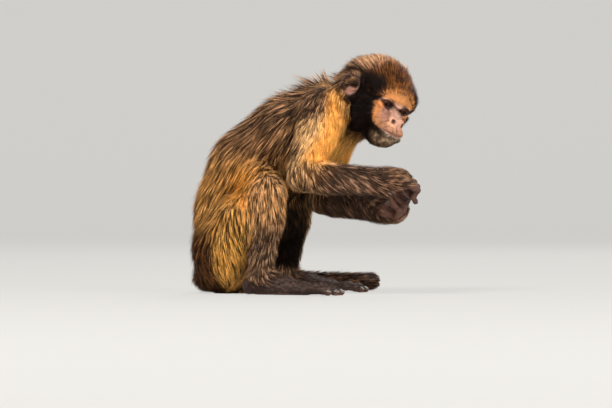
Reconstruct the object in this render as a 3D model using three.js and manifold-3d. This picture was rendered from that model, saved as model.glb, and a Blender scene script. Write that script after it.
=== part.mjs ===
// A life-size golden-bellied capuchin, sitting on the ground with its knees drawn up, its head turned
// to its right and both forearms held out in front.
// Millimetres, +Z up, +X the way the body faces, +Y its left. The ground is Z = 0. The solids reach to
// the tips of the coat. Each limb is a loft of oval rings along a curve, the head is a shell whose
// radius is found along rays from its middle, and neighbours are cut to meet with a thin gap.
import * as THREE from "three";
import { mergeVertices } from "three/addons/utils/BufferGeometryUtils.js";
import Module from "manifold-3d";

const wasm = await Module();
wasm.setup();

// ---------------------------------------------------------------- driving dimensions

const GAP = 0.3; // between neighbouring solids
const HUMERUS = 92;
const FOREARM = 90;
const FEMUR = 102;
const SHIN = 93;
const PALM = 34;
const FINGER_BONES = [17, 12, 9];
const FINGER_RADIUS = 3.9;
const THUMB_BONES = [13, 11, 8];
const THUMB_RADIUS = 4.4;
const TOE_BONES = [16, 12, 9];
const TOE_RADIUS = 4.3;
const GREAT_TOE_BONES = [18, 12, 9];
const GREAT_TOE_RADIUS = 5.2;
const TOE_OUT = 0.1; // how far each foot turns outwards, in radians
const ANKLE_CUT = 24; // height at which the shin ends and the foot begins
const EYE_RADIUS = 9;
const EYE_SPACING = 28;
const EAR_AT = [-42, 43, 0]; // in the head's frame
const EAR_TURN = [0.15, 0.1, -0.6];
const TAIL_LENGTH = 385;

const COLOURS = {
  back: 0x4a2c16,
  gold: 0xc88a3c,
  dark: 0x1f1410,
  limb: 0x2b1c14,
  face: 0xb98566,
  crown: 0x4b2f1e,
  skin: 0x4a3028,
  eye: 0x2a1206,
};

const vec = (x, y, z) => new THREE.Vector3(x, y, z);
const mix = THREE.MathUtils.lerp;

// The point a length away from another, in the direction given.
const reach = (from, length, direction) =>
  from.clone().addScaledVector(direction.clone().normalize(), length);

// Joints. s is +1 for the animal's left side and -1 for its right.
const sides = { left: 1, right: -1 };
const hip = (s) => vec(-84, 33 * s, 44);
const knee = (s) => reach(hip(s), FEMUR, vec(62.5 - 1.5 * s, (28 + 1.5 * s) * s, 73));
const ankle = (s) => reach(knee(s), SHIN, vec(-12, -4 * s, -90));
const shoulder = { left: vec(36, 38, 198), right: vec(41, -38, 212) };
const elbow = {
  left: reach(shoulder.left, HUMERUS, vec(-26, 10, -85)),
  right: reach(shoulder.right, HUMERUS, vec(-17, -46, -78)),
};
const wrist = {
  left: reach(elbow.left, FOREARM, vec(80, -40, -11)),
  right: reach(elbow.right, FOREARM, vec(77, 31, -4)),
};

// Where each hand points, where its palm faces, and the bends of its fingers and thumb in degrees.
const handPose = {
  left: {
    turn: vec(0.95, -0.1, -0.24),
    inside: vec(0.05, -0.55, 0.83),
    bends: [73, 75, 30],
    thumb: [8, 22, 20],
  },
  right: {
    turn: vec(0.8, 0.58, 0.1),
    inside: vec(-0.3, 0.45, -0.85),
    bends: [34, 76, 46],
    thumb: [5, 20, 15],
  },
};

// The head's own frame: +X to the nose, +Y its left, +Z its crown, origin midway between the eyes.
const headFrame = new THREE.Matrix4()
  .makeRotationFromEuler(
    new THREE.Euler(
      THREE.MathUtils.degToRad(-20), // tilted to its left
      THREE.MathUtils.degToRad(16), // nose down
      THREE.MathUtils.degToRad(-43), // turned to its right
      "ZYX",
    ),
  )
  .setPosition(121, -29, 213);

// ---------------------------------------------------------------- solids

// A closed geometry as a manifold solid.
function solid(geometry) {
  const bare = geometry.clone();
  for (const name of Object.keys(bare.attributes))
    if (name !== "position") bare.deleteAttribute(name);
  const merged = mergeVertices(bare, 1e-4);
  return new wasm.Manifold(
    new wasm.Mesh({
      numProp: 3,
      vertProperties: merged.attributes.position.array,
      triVerts: new Uint32Array(merged.index.array),
    }),
  );
}

// A manifold solid's biggest piece, as a geometry. Slivers left by a cut are dropped.
function geometryOf(cut) {
  const biggest = cut.decompose().sort((a, b) => b.volume() - a.volume())[0];
  const mesh = biggest.getMesh();
  const geometry = new THREE.BufferGeometry();
  geometry.setAttribute(
    "position",
    new THREE.BufferAttribute(new Float32Array(mesh.vertProperties), 3),
  );
  geometry.setIndex(new THREE.BufferAttribute(new Uint32Array(mesh.triVerts), 1));
  geometry.computeVertexNormals();
  return geometry;
}

// A closed surface from rings of the same number of points, with a point at each end.
function skinRings(rings, first, last) {
  const around = rings[0].length;
  const points = [first, ...rings.flat(), last];
  const faces = [];
  const at = (ring, i) => 1 + ring * around + (i % around);
  for (let i = 0; i < around; i++) {
    faces.push(0, at(0, i + 1), at(0, i));
    for (let ring = 0; ring + 1 < rings.length; ring++) {
      faces.push(at(ring, i), at(ring, i + 1), at(ring + 1, i));
      faces.push(at(ring, i + 1), at(ring + 1, i + 1), at(ring + 1, i));
    }
    faces.push(points.length - 1, at(rings.length - 1, i), at(rings.length - 1, i + 1));
  }
  return new THREE.BufferGeometry().setFromPoints(points).setIndex(faces);
}

// A loft through stations { at, wide, deep }: oval rings square to a smooth curve, with round ends.
// wide is the half-width along the vector across, deep the half-depth square to it. grow fattens it.
function loft(stations, { around = 12, steps = 8, across = vec(0, 1, 0), grow = 0 } = {}) {
  const path = new THREE.CatmullRomCurve3(stations.map((s) => s.at));
  const sizes = new THREE.CatmullRomCurve3(
    stations.map((s) => vec(s.wide, s.deep ?? s.wide, 0)),
  );
  const ring = (t, beyond, share) => {
    const tangent = path.getTangent(t);
    const u = across.clone().addScaledVector(tangent, -across.dot(tangent)).normalize();
    const v = tangent.clone().cross(u);
    const centre = path.getPoint(t).addScaledVector(tangent, beyond);
    const size = sizes.getPoint(t);
    return Array.from({ length: around }, (_, i) => {
      const angle = (2 * Math.PI * i) / around;
      return centre
        .clone()
        .addScaledVector(u, (size.x + grow) * share * Math.cos(angle))
        .addScaledVector(v, (size.y + grow) * share * Math.sin(angle));
    });
  };
  // The ends close like half a ball, in one ring and a point.
  const endReach = (t) => Math.min(...sizes.getPoint(t).toArray().slice(0, 2)) + grow;
  const cap = (t, way) => ring(t, way * endReach(t) * 0.7, Math.sqrt(1 - 0.7 ** 2));
  const pole = (t, way) => path.getPoint(t).addScaledVector(path.getTangent(t), way * endReach(t));
  const body = Array.from({ length: steps + 1 }, (_, i) => ring(i / steps, 0, 1));
  const rings = [cap(0, -1), ...body, cap(1, 1)];
  return skinRings(rings, pole(0, -1), pole(1, 1));
}

const station = (at, wide, deep = wide) => ({ at, wide, deep });

// The half of space on the far side of a plane, as a big block.
function halfSpace(point, normal) {
  const size = 900;
  const block = new THREE.BoxGeometry(size, size, size).translate(0, 0, size / 2);
  const turn = new THREE.Quaternion().setFromUnitVectors(vec(0, 0, 1), normal.clone().normalize());
  return solid(block.applyQuaternion(turn).translate(point.x, point.y, point.z));
}

// Cuts away what lies beyond a plane, leaving half the gap.
const trimmed = (shape, point, normal) =>
  shape.subtract(halfSpace(reach(point, -GAP / 2, normal), normal));

const ground = vec(0, 0, 0);
const onGround = (shape) => shape.subtract(halfSpace(ground, vec(0, 0, -1)));

// ---------------------------------------------------------------- the head's shell

// Distance to an ellipsoid, about right near its surface. At and radii are in the head's frame.
const egg = (at, radii) => (p) => {
  const q = [(p.x - at[0]) / radii[0], (p.y - at[1]) / radii[1], (p.z - at[2]) / radii[2]];
  const k0 = Math.hypot(...q);
  const k1 = Math.hypot(q[0] / radii[0], q[1] / radii[1], q[2] / radii[2]);
  return k1 > 0 ? (k0 * (k0 - 1)) / k1 : -Math.min(...radii);
};

// Distance to a rod from a to b whose radius runs from ra to rb.
const rod = (a, b, ra, rb) => {
  const start = vec(...a);
  const along = vec(...b).sub(start);
  return (p) => {
    const t = THREE.MathUtils.clamp(p.clone().sub(start).dot(along) / along.lengthSq(), 0, 1);
    return p.distanceTo(start.clone().addScaledVector(along, t)) - mix(ra, rb, t);
  };
};

// The smaller of two distances, rounded where they meet over a width k, and its opposite for a hollow.
const join = (a, b, k) => Math.min(a, b) - Math.max(k - Math.abs(a - b), 0) ** 2 / (4 * k);
const hollow = (a, b, k) => -join(-a, b, k);

// Both sides of a shape in the head's frame.
const pair = (make) => {
  const right = make(-1);
  const left = make(1);
  return (p) => Math.min(left(p), right(p));
};

// [shape, width of the blend]. The coat's volumes come first and the bare face after them.
const eyeSide = EYE_SPACING / 2;
const coatForms = [
  [egg([-48, 0, 7], [46, 44, 45]), 1], // crown and nape
  [egg([-14, 0, 17], [15, 32, 11]), 12], // brow hair
  [pair((s) => egg([-28, 17 * s, -22], [21, 20, 30])), 10], // whiskers of the cheek
  [egg([-70, 0, 0], [25, 36, 28]), 10], // ruff of the nape
  [egg([-12, 0, -38], [20, 19, 17]), 10], // beard under the chin
];
const faceForms = [
  [egg([-15, 0, -4], [14, 27, 22]), 8], // flat of the face
  [pair((s) => egg([-15, 15.5 * s, -17], [11, 9, 11])), 8], // cheek
  [egg([0, 0, -26], [20, 17, 13]), 8], // muzzle
  [egg([2, 0, -37], [14, 13, 9]), 6], // chin
  [rod([-1, 0, 6], [15, 0, -14], 4.5, 5.5), 6], // bridge of the nose
  [egg([16, 0, -16], [6, 9, 5]), 4], // nose tip and wings
  [pair((s) => rod([-2, 5 * s, 10], [-9, 25 * s, 6], 5, 5)), 6], // ridge over the eyes
  [rod([13, -11, -32], [13, 11, -32], 4, 4), 4], // lower lip
];
const faceHollows = [
  [pair((s) => egg([3, eyeSide * s, 0], [6.5, 8.5, 5.5])), 4], // eye opening
  [pair((s) => egg([21, 6 * s, -17], [3.5, 2.2, 2.4])), 1.5], // nostril
  [rod([23, -12, -29], [23, 12, -29], 2.2, 2.2), 2], // mouth
];

function headDistance(p) {
  let d = Infinity;
  for (const [shape, width] of coatForms) d = d === Infinity ? shape(p) : join(d, shape(p), width);
  for (const [shape, width] of faceForms) d = join(d, shape(p), width);
  for (const [shape, width] of faceHollows) d = hollow(d, shape(p), width);
  return d;
}

// Where a ray from the head's middle leaves it: steps inwards from well outside, then halves the step.
function leaves(middle, direction, grow) {
  const distance = (r) => headDistance(reach(middle, r, direction)) - grow;
  let outside = 110;
  while (outside > 4 && distance(outside - 2) > 0) outside -= 2;
  let inside = outside - 2;
  for (let i = 0; i < 14; i++) {
    const between = (inside + outside) / 2;
    if (distance(between) > 0) outside = between;
    else inside = between;
  }
  return reach(middle, inside, direction);
}

// Rings round an axis that leaves through the nose, closest together on the face.
function headGeometry(grow = 0) {
  const middle = vec(-36, 0, -5);
  const axis = vec(1, 0, -0.22).normalize();
  const side = vec(0, 1, 0);
  const up = side.clone().cross(axis);
  const ringCount = 21;
  const around = 28;
  const direction = (tilt, turn) =>
    axis
      .clone()
      .multiplyScalar(Math.cos(tilt))
      .addScaledVector(side, Math.sin(tilt) * Math.cos(turn))
      .addScaledVector(up, Math.sin(tilt) * Math.sin(turn));
  const rings = Array.from({ length: ringCount }, (_, i) => {
    const tilt = Math.PI * ((i + 1) / (ringCount + 1)) ** 1.55;
    return Array.from({ length: around }, (_, j) =>
      leaves(middle, direction(tilt, (2 * Math.PI * j) / around), grow),
    );
  });
  const poles = [axis, axis.clone().negate()].map((way) => leaves(middle, way, grow));
  return skinRings(rings, ...poles).applyMatrix4(headFrame);
}

// ---------------------------------------------------------------- the trunk and neck

const trunkStations = [
  station(vec(-80, 0, 6), 44, 38),
  station(vec(-80, 0, 48), 50, 45),
  station(vec(-77, 0, 96), 52, 50),
  station(vec(-56, 0, 141), 52, 56),
  station(vec(-13, 0, 176), 52, 54),
  station(vec(27, 0, 200), 44, 48),
];
const neckStations = [
  station(vec(8, 0, 189), 44, 46),
  station(vec(30, 0, 201), 43, 46),
  station(vec(52, 0, 209), 36, 40),
  station(vec(72, 2, 216), 30, 32),
];
const neckRoot = vec(31, 0, 202);
const neckDirection = vec(0.87, 0, 0.5);
// Hair that stands away from the coat: the mane between the shoulders and the tuft of the nape.
const maneStations = [station(vec(30, -2, 226), 20, 14), station(vec(4, 0, 243), 9, 6)];
const napeStations = [station(vec(44, 0, 228), 14, 9), station(vec(27, 4, 256), 6, 4)];

// Each is a loft with its tuft, fattened by grow.
function withTuft(stations, tuft, form, grow) {
  const body = solid(loft(stations, { ...form, grow }));
  return body.add(solid(loft(tuft, { around: 8, steps: 2, grow })));
}
const trunkSolid = (grow = 0) =>
  trimmed(
    withTuft(trunkStations, maneStations, { around: 20, steps: 14 }, grow),
    neckRoot,
    neckDirection,
  );
const neckSolid = (grow = 0) =>
  trimmed(
    withTuft(neckStations, napeStations, { around: 16, steps: 3 }, grow),
    neckRoot,
    neckDirection.clone().negate(),
  );

// ---------------------------------------------------------------- limbs

// Halfway plane of a bent joint: through it, and facing from the first bone's side to the second's.
function bendPlane(before, joint, after) {
  const incoming = joint.clone().sub(before).normalize();
  const outgoing = after.clone().sub(joint).normalize();
  return incoming.add(outgoing);
}

function arm(name, grow = 0) {
  const top = shoulder[name];
  const bend = elbow[name];
  const end = wrist[name];
  const across = bend.clone().sub(top).cross(end.clone().sub(bend)).normalize();
  const upper = loft(
    [
      station(top, 24, 27),
      station(top.clone().lerp(bend, 0.45), 23, 26),
      station(bend, 18, 19),
    ],
    { around: 12, steps: 4, across, grow },
  );
  const lower = loft(
    [
      station(bend, 18, 19),
      station(bend.clone().lerp(end, 0.35), 19, 21),
      station(bend.clone().lerp(end, 0.75), 16, 19),
      station(reach(end, 4, end.clone().sub(bend)), 12, 15),
    ],
    { around: 12, steps: 5, across, grow },
  );
  return { upper, lower, plane: bendPlane(top, bend, end) };
}

function leg(name, grow = 0) {
  const s = sides[name];
  const top = hip(s);
  const bend = knee(s);
  const end = ankle(s);
  const across = bend.clone().sub(top).cross(end.clone().sub(bend)).normalize();
  const thigh = loft(
    [
      station(top, 31, 38),
      station(top.clone().lerp(bend, 0.5), 28, 38),
      station(bend, 20, 22),
    ],
    { around: 14, steps: 5, across, grow },
  );
  const shin = loft(
    [
      station(bend, 20, 22),
      station(bend.clone().lerp(end, 0.4), 20, 25),
      station(bend.clone().lerp(end, 0.8), 15, 19),
      station(reach(end, 6, end.clone().sub(bend)), 13, 15),
    ],
    { around: 12, steps: 5, across, grow },
  );
  return { thigh, shin, plane: bendPlane(top, bend, end) };
}

// A finger or toe: three bones, each turned a little further towards the curl direction.
function digit(root, heading, curlTo, bones, bends, radius) {
  const points = [root];
  let direction = heading.clone().normalize();
  bones.forEach((length, i) => {
    const turn = THREE.MathUtils.degToRad(bends[i]);
    const sideways = curlTo.clone().addScaledVector(direction, -curlTo.dot(direction)).normalize();
    direction = direction
      .clone()
      .multiplyScalar(Math.cos(turn))
      .addScaledVector(sideways, Math.sin(turn));
    points.push(reach(points.at(-1), length, direction));
  });
  const stations = points.map((at, i) => station(at, radius * [1.1, 1.1, 0.98, 0.8][i]));
  const across = heading.clone().cross(curlTo).normalize();
  return loft(stations, { around: 6, steps: 4, across });
}

// A hand. Its own axes run from the wrist to the knuckles, to the thumb and out of the palm.
function hand(name) {
  const { turn, inside, bends, thumb: thumbBends } = handPose[name];
  const f = turn.clone().normalize();
  const palmSide = inside.clone().addScaledVector(f, -inside.dot(f)).normalize();
  const thumbSide = f.clone().cross(palmSide).multiplyScalar(-sides[name]);
  const at = (x, y, z) =>
    wrist[name]
      .clone()
      .addScaledVector(f, x)
      .addScaledVector(thumbSide, y)
      .addScaledVector(palmSide, z);
  const palm = [
    station(at(-2, 0, 0), 13, 10),
    station(at(14, 0, 1), 16.5, 10.5),
    station(at(PALM - 6, -1, 1), 16, 8.5),
  ];
  let shape = solid(loft(palm, { around: 10, steps: 3, across: thumbSide }));
  const fingerLengths = [0.92, 1, 0.97, 0.82];
  fingerLengths.forEach((share, i) => {
    const spread = 1 - (2 * i) / 3; // +1 at the index finger, -1 at the little one
    const knuckle = at(PALM - 3 - Math.abs(spread) * 2, spread * 11.4, 1);
    const heading = f.clone().addScaledVector(thumbSide, spread * 0.16);
    const bones = FINGER_BONES.map((length) => length * share);
    shape = shape.add(solid(digit(knuckle, heading, palmSide, bones, bends, FINGER_RADIUS)));
  });
  const thumbHeading = f.clone().multiplyScalar(0.75).addScaledVector(thumbSide, 0.75);
  thumbHeading.addScaledVector(palmSide, 0.35);
  const root = at(8, 11, 3);
  const thumb = digit(root, thumbHeading, palmSide, THUMB_BONES, thumbBends, THUMB_RADIUS);
  return shape.add(solid(thumb));
}

// A foot flat on the ground, its long toes forward and the great toe held out to the inside.
function foot(s) {
  const a = ankle(s);
  const f = vec(Math.cos(TOE_OUT), Math.sin(TOE_OUT) * s, 0);
  const inward = vec(Math.sin(TOE_OUT), -Math.cos(TOE_OUT) * s, 0);
  const at = (x, y, z) => vec(a.x, a.y, 0).addScaledVector(f, x).addScaledVector(inward, y).setZ(z);
  let shape = solid(
    loft(
      [
        station(at(-13, 0, 10), 11, 11),
        station(at(2, 0, 15), 13, 16),
        station(at(26, 0, 11), 14, 13),
        station(at(56, -1, 7.5), 16, 9),
      ],
      { around: 10, steps: 5, across: inward },
    ),
  );
  const down = vec(0, 0, -1);
  const toeLengths = [0.95, 1, 0.95, 0.84];
  toeLengths.forEach((share, i) => {
    const spread = 1 - (2 * i) / 3;
    const root = at(60 - Math.abs(spread) * 2, spread * 11.5 - 1, 7);
    const heading = f.clone().addScaledVector(inward, spread * 0.14).setZ(0.12);
    const bones = TOE_BONES.map((length) => length * share);
    shape = shape.add(solid(digit(root, heading, down, bones, [0, 16, 14], TOE_RADIUS)));
  });
  const heading = f.clone().multiplyScalar(0.85).addScaledVector(inward, 0.62).setZ(0);
  const root = at(32, 10, 6.5);
  const greatToe = digit(root, heading, down, GREAT_TOE_BONES, [0, 10, 8], GREAT_TOE_RADIUS);
  return onGround(shape.add(solid(greatToe)));
}

// ---------------------------------------------------------------- the tail

// It leaves the rump, lies round the animal's left side and ends in an outward curl.
function tailLengths() {
  const radius = (t) => mix(17, 11, t);
  const course = new THREE.CatmullRomCurve3(
    [
      [-98, 2, 22],
      [-118, 20, 18],
      [-127, 50, 16],
      [-116, 82, 15],
      [-82, 101, 14],
      [-30, 105, 13],
      [18, 106, 12.5],
      [46, 118, 12],
      [52, 142, 11.5],
      [34, 160, 11],
      [6, 158, 10.5],
    ].map(([x, y, z]) => vec(x, y, z)),
  );
  const parts = ["tail_base", "tail_middle", "tail_end", "tail_tip"];
  const whole = course.getLength();
  const used = Math.min(1, TAIL_LENGTH / whole);
  return parts.map((name, i) => {
    const [from, to] = [i, i + 1].map((n) => (used * n) / parts.length);
    const overrun = 0.012;
    const stations = Array.from({ length: 7 }, (_, j) => {
      const t = mix(Math.max(0, from - overrun), Math.min(used, to + overrun), j / 6);
      return station(course.getPointAt(t), radius(t));
    });
    let shape = solid(loft(stations, { around: 9, steps: 5, across: vec(0, 0, 1) }));
    const ends = [
      [from, -1],
      [to, 1],
    ];
    for (const [t, way] of ends)
      if (t > 0 && t < used)
        shape = trimmed(shape, course.getPointAt(t), course.getTangentAt(t).multiplyScalar(way));
    return [name, onGround(shape)];
  });
}

// ---------------------------------------------------------------- eyes and ears

const toWorld = (x, y, z) => vec(x, y, z).applyMatrix4(headFrame);
const eyeCentre = (s) => toWorld(-EYE_RADIUS, eyeSide * s, 0);
const ball = (centre, radius) =>
  new THREE.SphereGeometry(radius, 12, 8).translate(centre.x, centre.y, centre.z);

// An ear: a flattened cup standing off the side of the head, open to the front and outside.
function ear(s) {
  const cup = (radii, shift) =>
    new THREE.SphereGeometry(1, 12, 7).scale(...radii).translate(...shift);
  const [roll, pitch, yaw] = EAR_TURN;
  const [x, y, z] = EAR_AT;
  const place = new THREE.Matrix4()
    .makeRotationFromEuler(new THREE.Euler(roll * s, pitch, yaw * s, "ZYX"))
    .setPosition(x, y * s, z);
  const frame = headFrame.clone().multiply(place);
  const outer = solid(cup([13, 7, 16], [0, 0, 0]).applyMatrix4(frame));
  const inner = solid(cup([10, 6, 12], [2, 4.5 * s, 0]).applyMatrix4(frame));
  return outer.subtract(inner);
}

// ---------------------------------------------------------------- assembly

const nodes = new Map();
const put = (name, shape, colour, roughness = 0.85) => nodes.set(name, { shape, colour, roughness });

const trunkGrown = trunkSolid(GAP);
const headSolid = solid(headGeometry());
const headGrown = solid(headGeometry(GAP));
const sockets = ["left", "right"].map((name) =>
  solid(ball(eyeCentre(sides[name]), EYE_RADIUS + GAP)),
);

put("trunk", onGround(trunkSolid()), COLOURS.back);
put("head", headSolid.subtract(sockets[0]).subtract(sockets[1]), COLOURS.crown);
put("neck", neckSolid().subtract(headGrown), COLOURS.gold);

const body = trunkGrown.add(neckSolid(GAP)).add(headGrown);

const legRoom = [];
for (const [name, s] of Object.entries(sides)) {
  const { thigh, shin, plane } = leg(name);
  const grown = leg(name, GAP);
  legRoom.push(solid(grown.thigh), solid(grown.shin));
  const sole = foot(s);
  const toFoot = vec(ankle(s).x, ankle(s).y, ANKLE_CUT);
  const down = vec(0.25, 0, -1);
  const thighSolid = trimmed(solid(thigh), knee(s), plane).subtract(trunkGrown);
  const shinSolid = trimmed(trimmed(solid(shin), knee(s), plane.clone().negate()), toFoot, down);
  put(`thigh_${name}`, onGround(thighSolid), COLOURS.back);
  put(`shin_${name}`, onGround(shinSolid).subtract(trunkGrown), COLOURS.dark);
  put(`foot_${name}`, trimmed(sole, toFoot, down.clone().negate()), COLOURS.skin);
}

const legsGrown = wasm.Manifold.union(legRoom);
const armRoom = {};
for (const name of Object.keys(sides)) {
  const { upper, lower, plane } = arm(name);
  armRoom[name] = solid(arm(name, GAP).upper);
  const bend = elbow[name];
  const end = wrist[name];
  const forward = end.clone().sub(bend).normalize();
  const upperSolid = trimmed(solid(upper), bend, plane).subtract(body);
  const lowerSolid = trimmed(trimmed(solid(lower), bend, plane.clone().negate()), end, forward);
  put(`upper_arm_${name}`, upperSolid.subtract(legsGrown), COLOURS.gold);
  put(`forearm_${name}`, lowerSolid.subtract(legsGrown), COLOURS.limb);
  put(`hand_${name}`, trimmed(hand(name), end, forward.clone().negate()), COLOURS.skin, 0.6);
}

for (const [name, shape] of tailLengths()) put(name, shape.subtract(trunkGrown), COLOURS.dark);

for (const [name, s] of Object.entries(sides)) {
  put(`eye_${name}`, solid(ball(eyeCentre(s), EYE_RADIUS)), COLOURS.eye, 0.1);
  put(`ear_${name}`, ear(s).subtract(headGrown).subtract(armRoom[name]), COLOURS.face, 0.6);
}

const monkey = new THREE.Group();
for (const [name, { shape, colour, roughness }] of nodes) {
  const material = new THREE.MeshStandardMaterial({ color: colour, roughness, metalness: 0 });
  const mesh = new THREE.Mesh(geometryOf(shape), material);
  mesh.name = name;
  monkey.add(mesh);
}

// The origin is the middle of the footprint.
const extent = new THREE.Box3().setFromObject(monkey);
const middle = extent.getCenter(vec(0, 0, 0));
monkey.position.set(-middle.x, -middle.y, 0);

export default monkey;
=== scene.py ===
"""A life-size golden-bellied capuchin, sitting with its knees drawn up and its forearms held out.

The flesh is one closed skin drawn round a field of distances, and the coat is solid locks of hair
that lie over it. Lengths are millimetres until a mesh is made, in the animal's own frame: +X the way
the body faces, +Y its left, +Z up.
"""

import bmesh
import bpy
import numpy as np
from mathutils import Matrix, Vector


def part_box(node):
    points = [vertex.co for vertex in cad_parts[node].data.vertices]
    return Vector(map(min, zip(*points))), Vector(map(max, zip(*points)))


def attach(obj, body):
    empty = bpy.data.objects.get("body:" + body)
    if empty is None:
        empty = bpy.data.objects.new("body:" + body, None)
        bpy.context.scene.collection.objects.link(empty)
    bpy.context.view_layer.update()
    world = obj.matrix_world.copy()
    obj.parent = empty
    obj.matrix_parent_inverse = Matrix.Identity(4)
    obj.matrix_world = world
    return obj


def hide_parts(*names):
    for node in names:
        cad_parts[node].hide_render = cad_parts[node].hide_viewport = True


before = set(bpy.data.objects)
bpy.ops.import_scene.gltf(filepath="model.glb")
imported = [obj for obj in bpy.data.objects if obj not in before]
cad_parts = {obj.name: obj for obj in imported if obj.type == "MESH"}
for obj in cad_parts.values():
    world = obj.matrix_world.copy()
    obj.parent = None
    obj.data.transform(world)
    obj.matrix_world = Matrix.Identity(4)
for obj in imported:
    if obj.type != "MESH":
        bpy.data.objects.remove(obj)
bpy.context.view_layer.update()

rng = np.random.default_rng(7)  # for the coat, in the order in which its pieces grow
MM = 0.001

# ---- vectors


def vec(*numbers):
    """The numbers as one array: a place, a direction or sizes."""
    return np.array(numbers, float)


def length_of(v):
    """The root of the sum of squares along each row, kept as a column."""
    return np.sqrt(np.sum(v * v, axis=-1, keepdims=True))


def gap(v):
    """The length of each row, as one number a row."""
    return length_of(v)[..., 0]


def unit(v):
    """Each row over its own length."""
    return v / np.maximum(length_of(v), 1e-9)


def mix(a, b, t):
    """From a at t = 0 to b at t = 1, in a straight line."""
    return a + (b - a) * t


def ramp(low, high, x):
    """0 below low and 1 above high, with a smooth S between them."""
    t = np.clip((x - low) / (high - low), 0.0, 1.0)
    return t * t * (3.0 - 2.0 * t)


def bell(*offsets):
    """1 where all offsets are 0, and e to the minus the sum of their squares elsewhere."""
    return np.exp(-sum(offset**2 for offset in offsets))


def reach(start, length, direction):
    """The place at a length from the start, in a direction."""
    return start + length * unit(direction)


def turned_about(axis, degrees):
    """The matrix that turns about the X, Y or Z axis, 0, 1 or 2."""
    c, s = np.cos(np.radians(degrees)), np.sin(np.radians(degrees))
    i, j = (axis + 1) % 3, (axis + 2) % 3
    matrix = np.eye(3)
    matrix[i, i] = matrix[j, j] = c
    matrix[i, j], matrix[j, i] = -s, s
    return matrix


def placer(origin, along, across, up):
    """A function that gives the place at x, y and z along three axes from an origin."""
    return lambda x, y, z: origin + x * along + y * across + z * up


# ---- bones

SIDES = {"left": 1, "right": -1}
ACROSS, UP = vec(0, 1, 0), vec(0, 0, 1)
HUMERUS, FOREARM, FEMUR, SHIN, PALM = 92, 90, 102, 93, 34
EYE_RADIUS, EYE_APART = 9, 14

HIP = {n: vec(-84, 33 * s, 44) for n, s in SIDES.items()}
KNEE = {n: reach(HIP[n], FEMUR, vec(62.5 - 1.5 * s, (28 + 1.5 * s) * s, 73)) for n, s in SIDES.items()}
ANKLE = {n: reach(KNEE[n], SHIN, vec(-12, -4 * s, -90)) for n, s in SIDES.items()}
HEEL = {n: ANKLE[n] * vec(1, 1, 0) for n in SIDES}
SHOULDER = {"left": vec(36, 38, 198), "right": vec(41, -38, 212)}
ELBOW = {
    "left": reach(SHOULDER["left"], HUMERUS, vec(-26, 10, -85)),
    "right": reach(SHOULDER["right"], HUMERUS, vec(-17, -46, -78)),
}
WRIST = {
    "left": reach(ELBOW["left"], FOREARM, vec(80, -40, -11)),
    "right": reach(ELBOW["right"], FOREARM, vec(77, 31, -4)),
}
# Where each hand points, where its palm faces, and the bends of its fingers' and thumb's joints.
HAND_POSE = {
    "left": (vec(0.95, -0.1, -0.24), vec(0.05, -0.55, 0.83), (73, 75, 30), (8, 22, 20)),
    "right": (vec(0.8, 0.58, 0.1), vec(-0.3, 0.45, -0.85), (34, 76, 46), (5, 20, 15)),
}

# The head's own frame: +X to the nose, +Y its left, +Z its crown, origin midway between the eyes.
HEAD = turned_about(2, -43) @ turned_about(1, 16) @ turned_about(0, -20)
HEAD_AT = vec(121, -29, 213)


def head_point(x, y, z):
    """A place of the head's own frame, in the animal's."""
    return HEAD @ vec(x, y, z) + HEAD_AT


def in_head(points):
    """Places of the animal's frame, in the head's own."""
    return (points - HEAD_AT) @ HEAD


def from_eye(local, s):
    """Where places of the head's frame are from the middle of its left or right eye, for s = 1 or -1."""
    return local - vec(-EYE_RADIUS, EYE_APART * s, 0)


EYE = {n: head_point(-EYE_RADIUS, EYE_APART * s, 0) for n, s in SIDES.items()}

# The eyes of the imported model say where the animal's frame is.
eye_boxes = [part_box(f"eye_{n}") for n in SIDES]
eyes_middle = np.mean([np.mean([list(low), list(high)], axis=0) for low, high in eye_boxes], axis=0)
SHIFT = eyes_middle / MM - (EYE["left"] + EYE["right"]) / 2

GROUND = 0.8  # the skin stays this far above the floor

# Each place on the spine has the trunk's half-width and half-depth there.
SPINE = [
    (vec(-80, 0, 36), 38, 33),
    (vec(-79, 0, 62), 38, 35),
    (vec(-77, 0, 96), 40, 38),
    (vec(-56, 0, 141), 40, 44),
    (vec(-13, 0, 176), 40, 42),
    (vec(28, 0, 199), 34, 34),
    (vec(52, 0, 205), 27, 27),
    (vec(74, 2, 214), 21, 22),
]
TAIL_COURSE = [
    vec(-98, 2, 22), vec(-118, 20, 18), vec(-127, 50, 16), vec(-116, 82, 15), vec(-82, 101, 14),
    vec(-30, 105, 13), vec(18, 106, 12.5), vec(46, 118, 12), vec(52, 142, 11.5), vec(34, 160, 11),
    vec(6, 158, 10.5),
]
TAIL_LENGTH, TAIL_POINTS = 372, 33
STRETCH_STEPS = 24  # of the curve between two places of the course


def smooth_course(points, count):
    """Points evenly along a Catmull-Rom curve: each stretch blends its four neighbours by cubics of t."""
    p = np.array([2 * points[0] - points[1], *points, 2 * points[-1] - points[-2]])
    t = np.linspace(0, 1, STRETCH_STEPS, endpoint=False)[:, None]
    stretches = [
        0.5 * (2 * b + (c - a) * t + (2 * a - 5 * b + 4 * c - d) * t**2 + (3 * b - a - 3 * c + d) * t**3)
        for a, b, c, d in zip(p, p[1:], p[2:], p[3:])
    ]
    fine = np.vstack([*stretches, p[-2:-1]])
    run = np.concatenate([[0], np.cumsum(gap(np.diff(fine, axis=0)))])
    at = np.linspace(0, min(run[-1], TAIL_LENGTH), count)
    return np.stack([np.interp(at, run, fine[:, i]) for i in range(3)], axis=1)


TAIL = smooth_course(TAIL_COURSE, TAIL_POINTS)

# ---- distances


def join(a, b, width):
    """The smaller of two distances, rounded over a width where they are nearly equal."""
    return np.minimum(a, b) - np.maximum(width - np.abs(a - b), 0.0) ** 2 / (4.0 * width)


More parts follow.
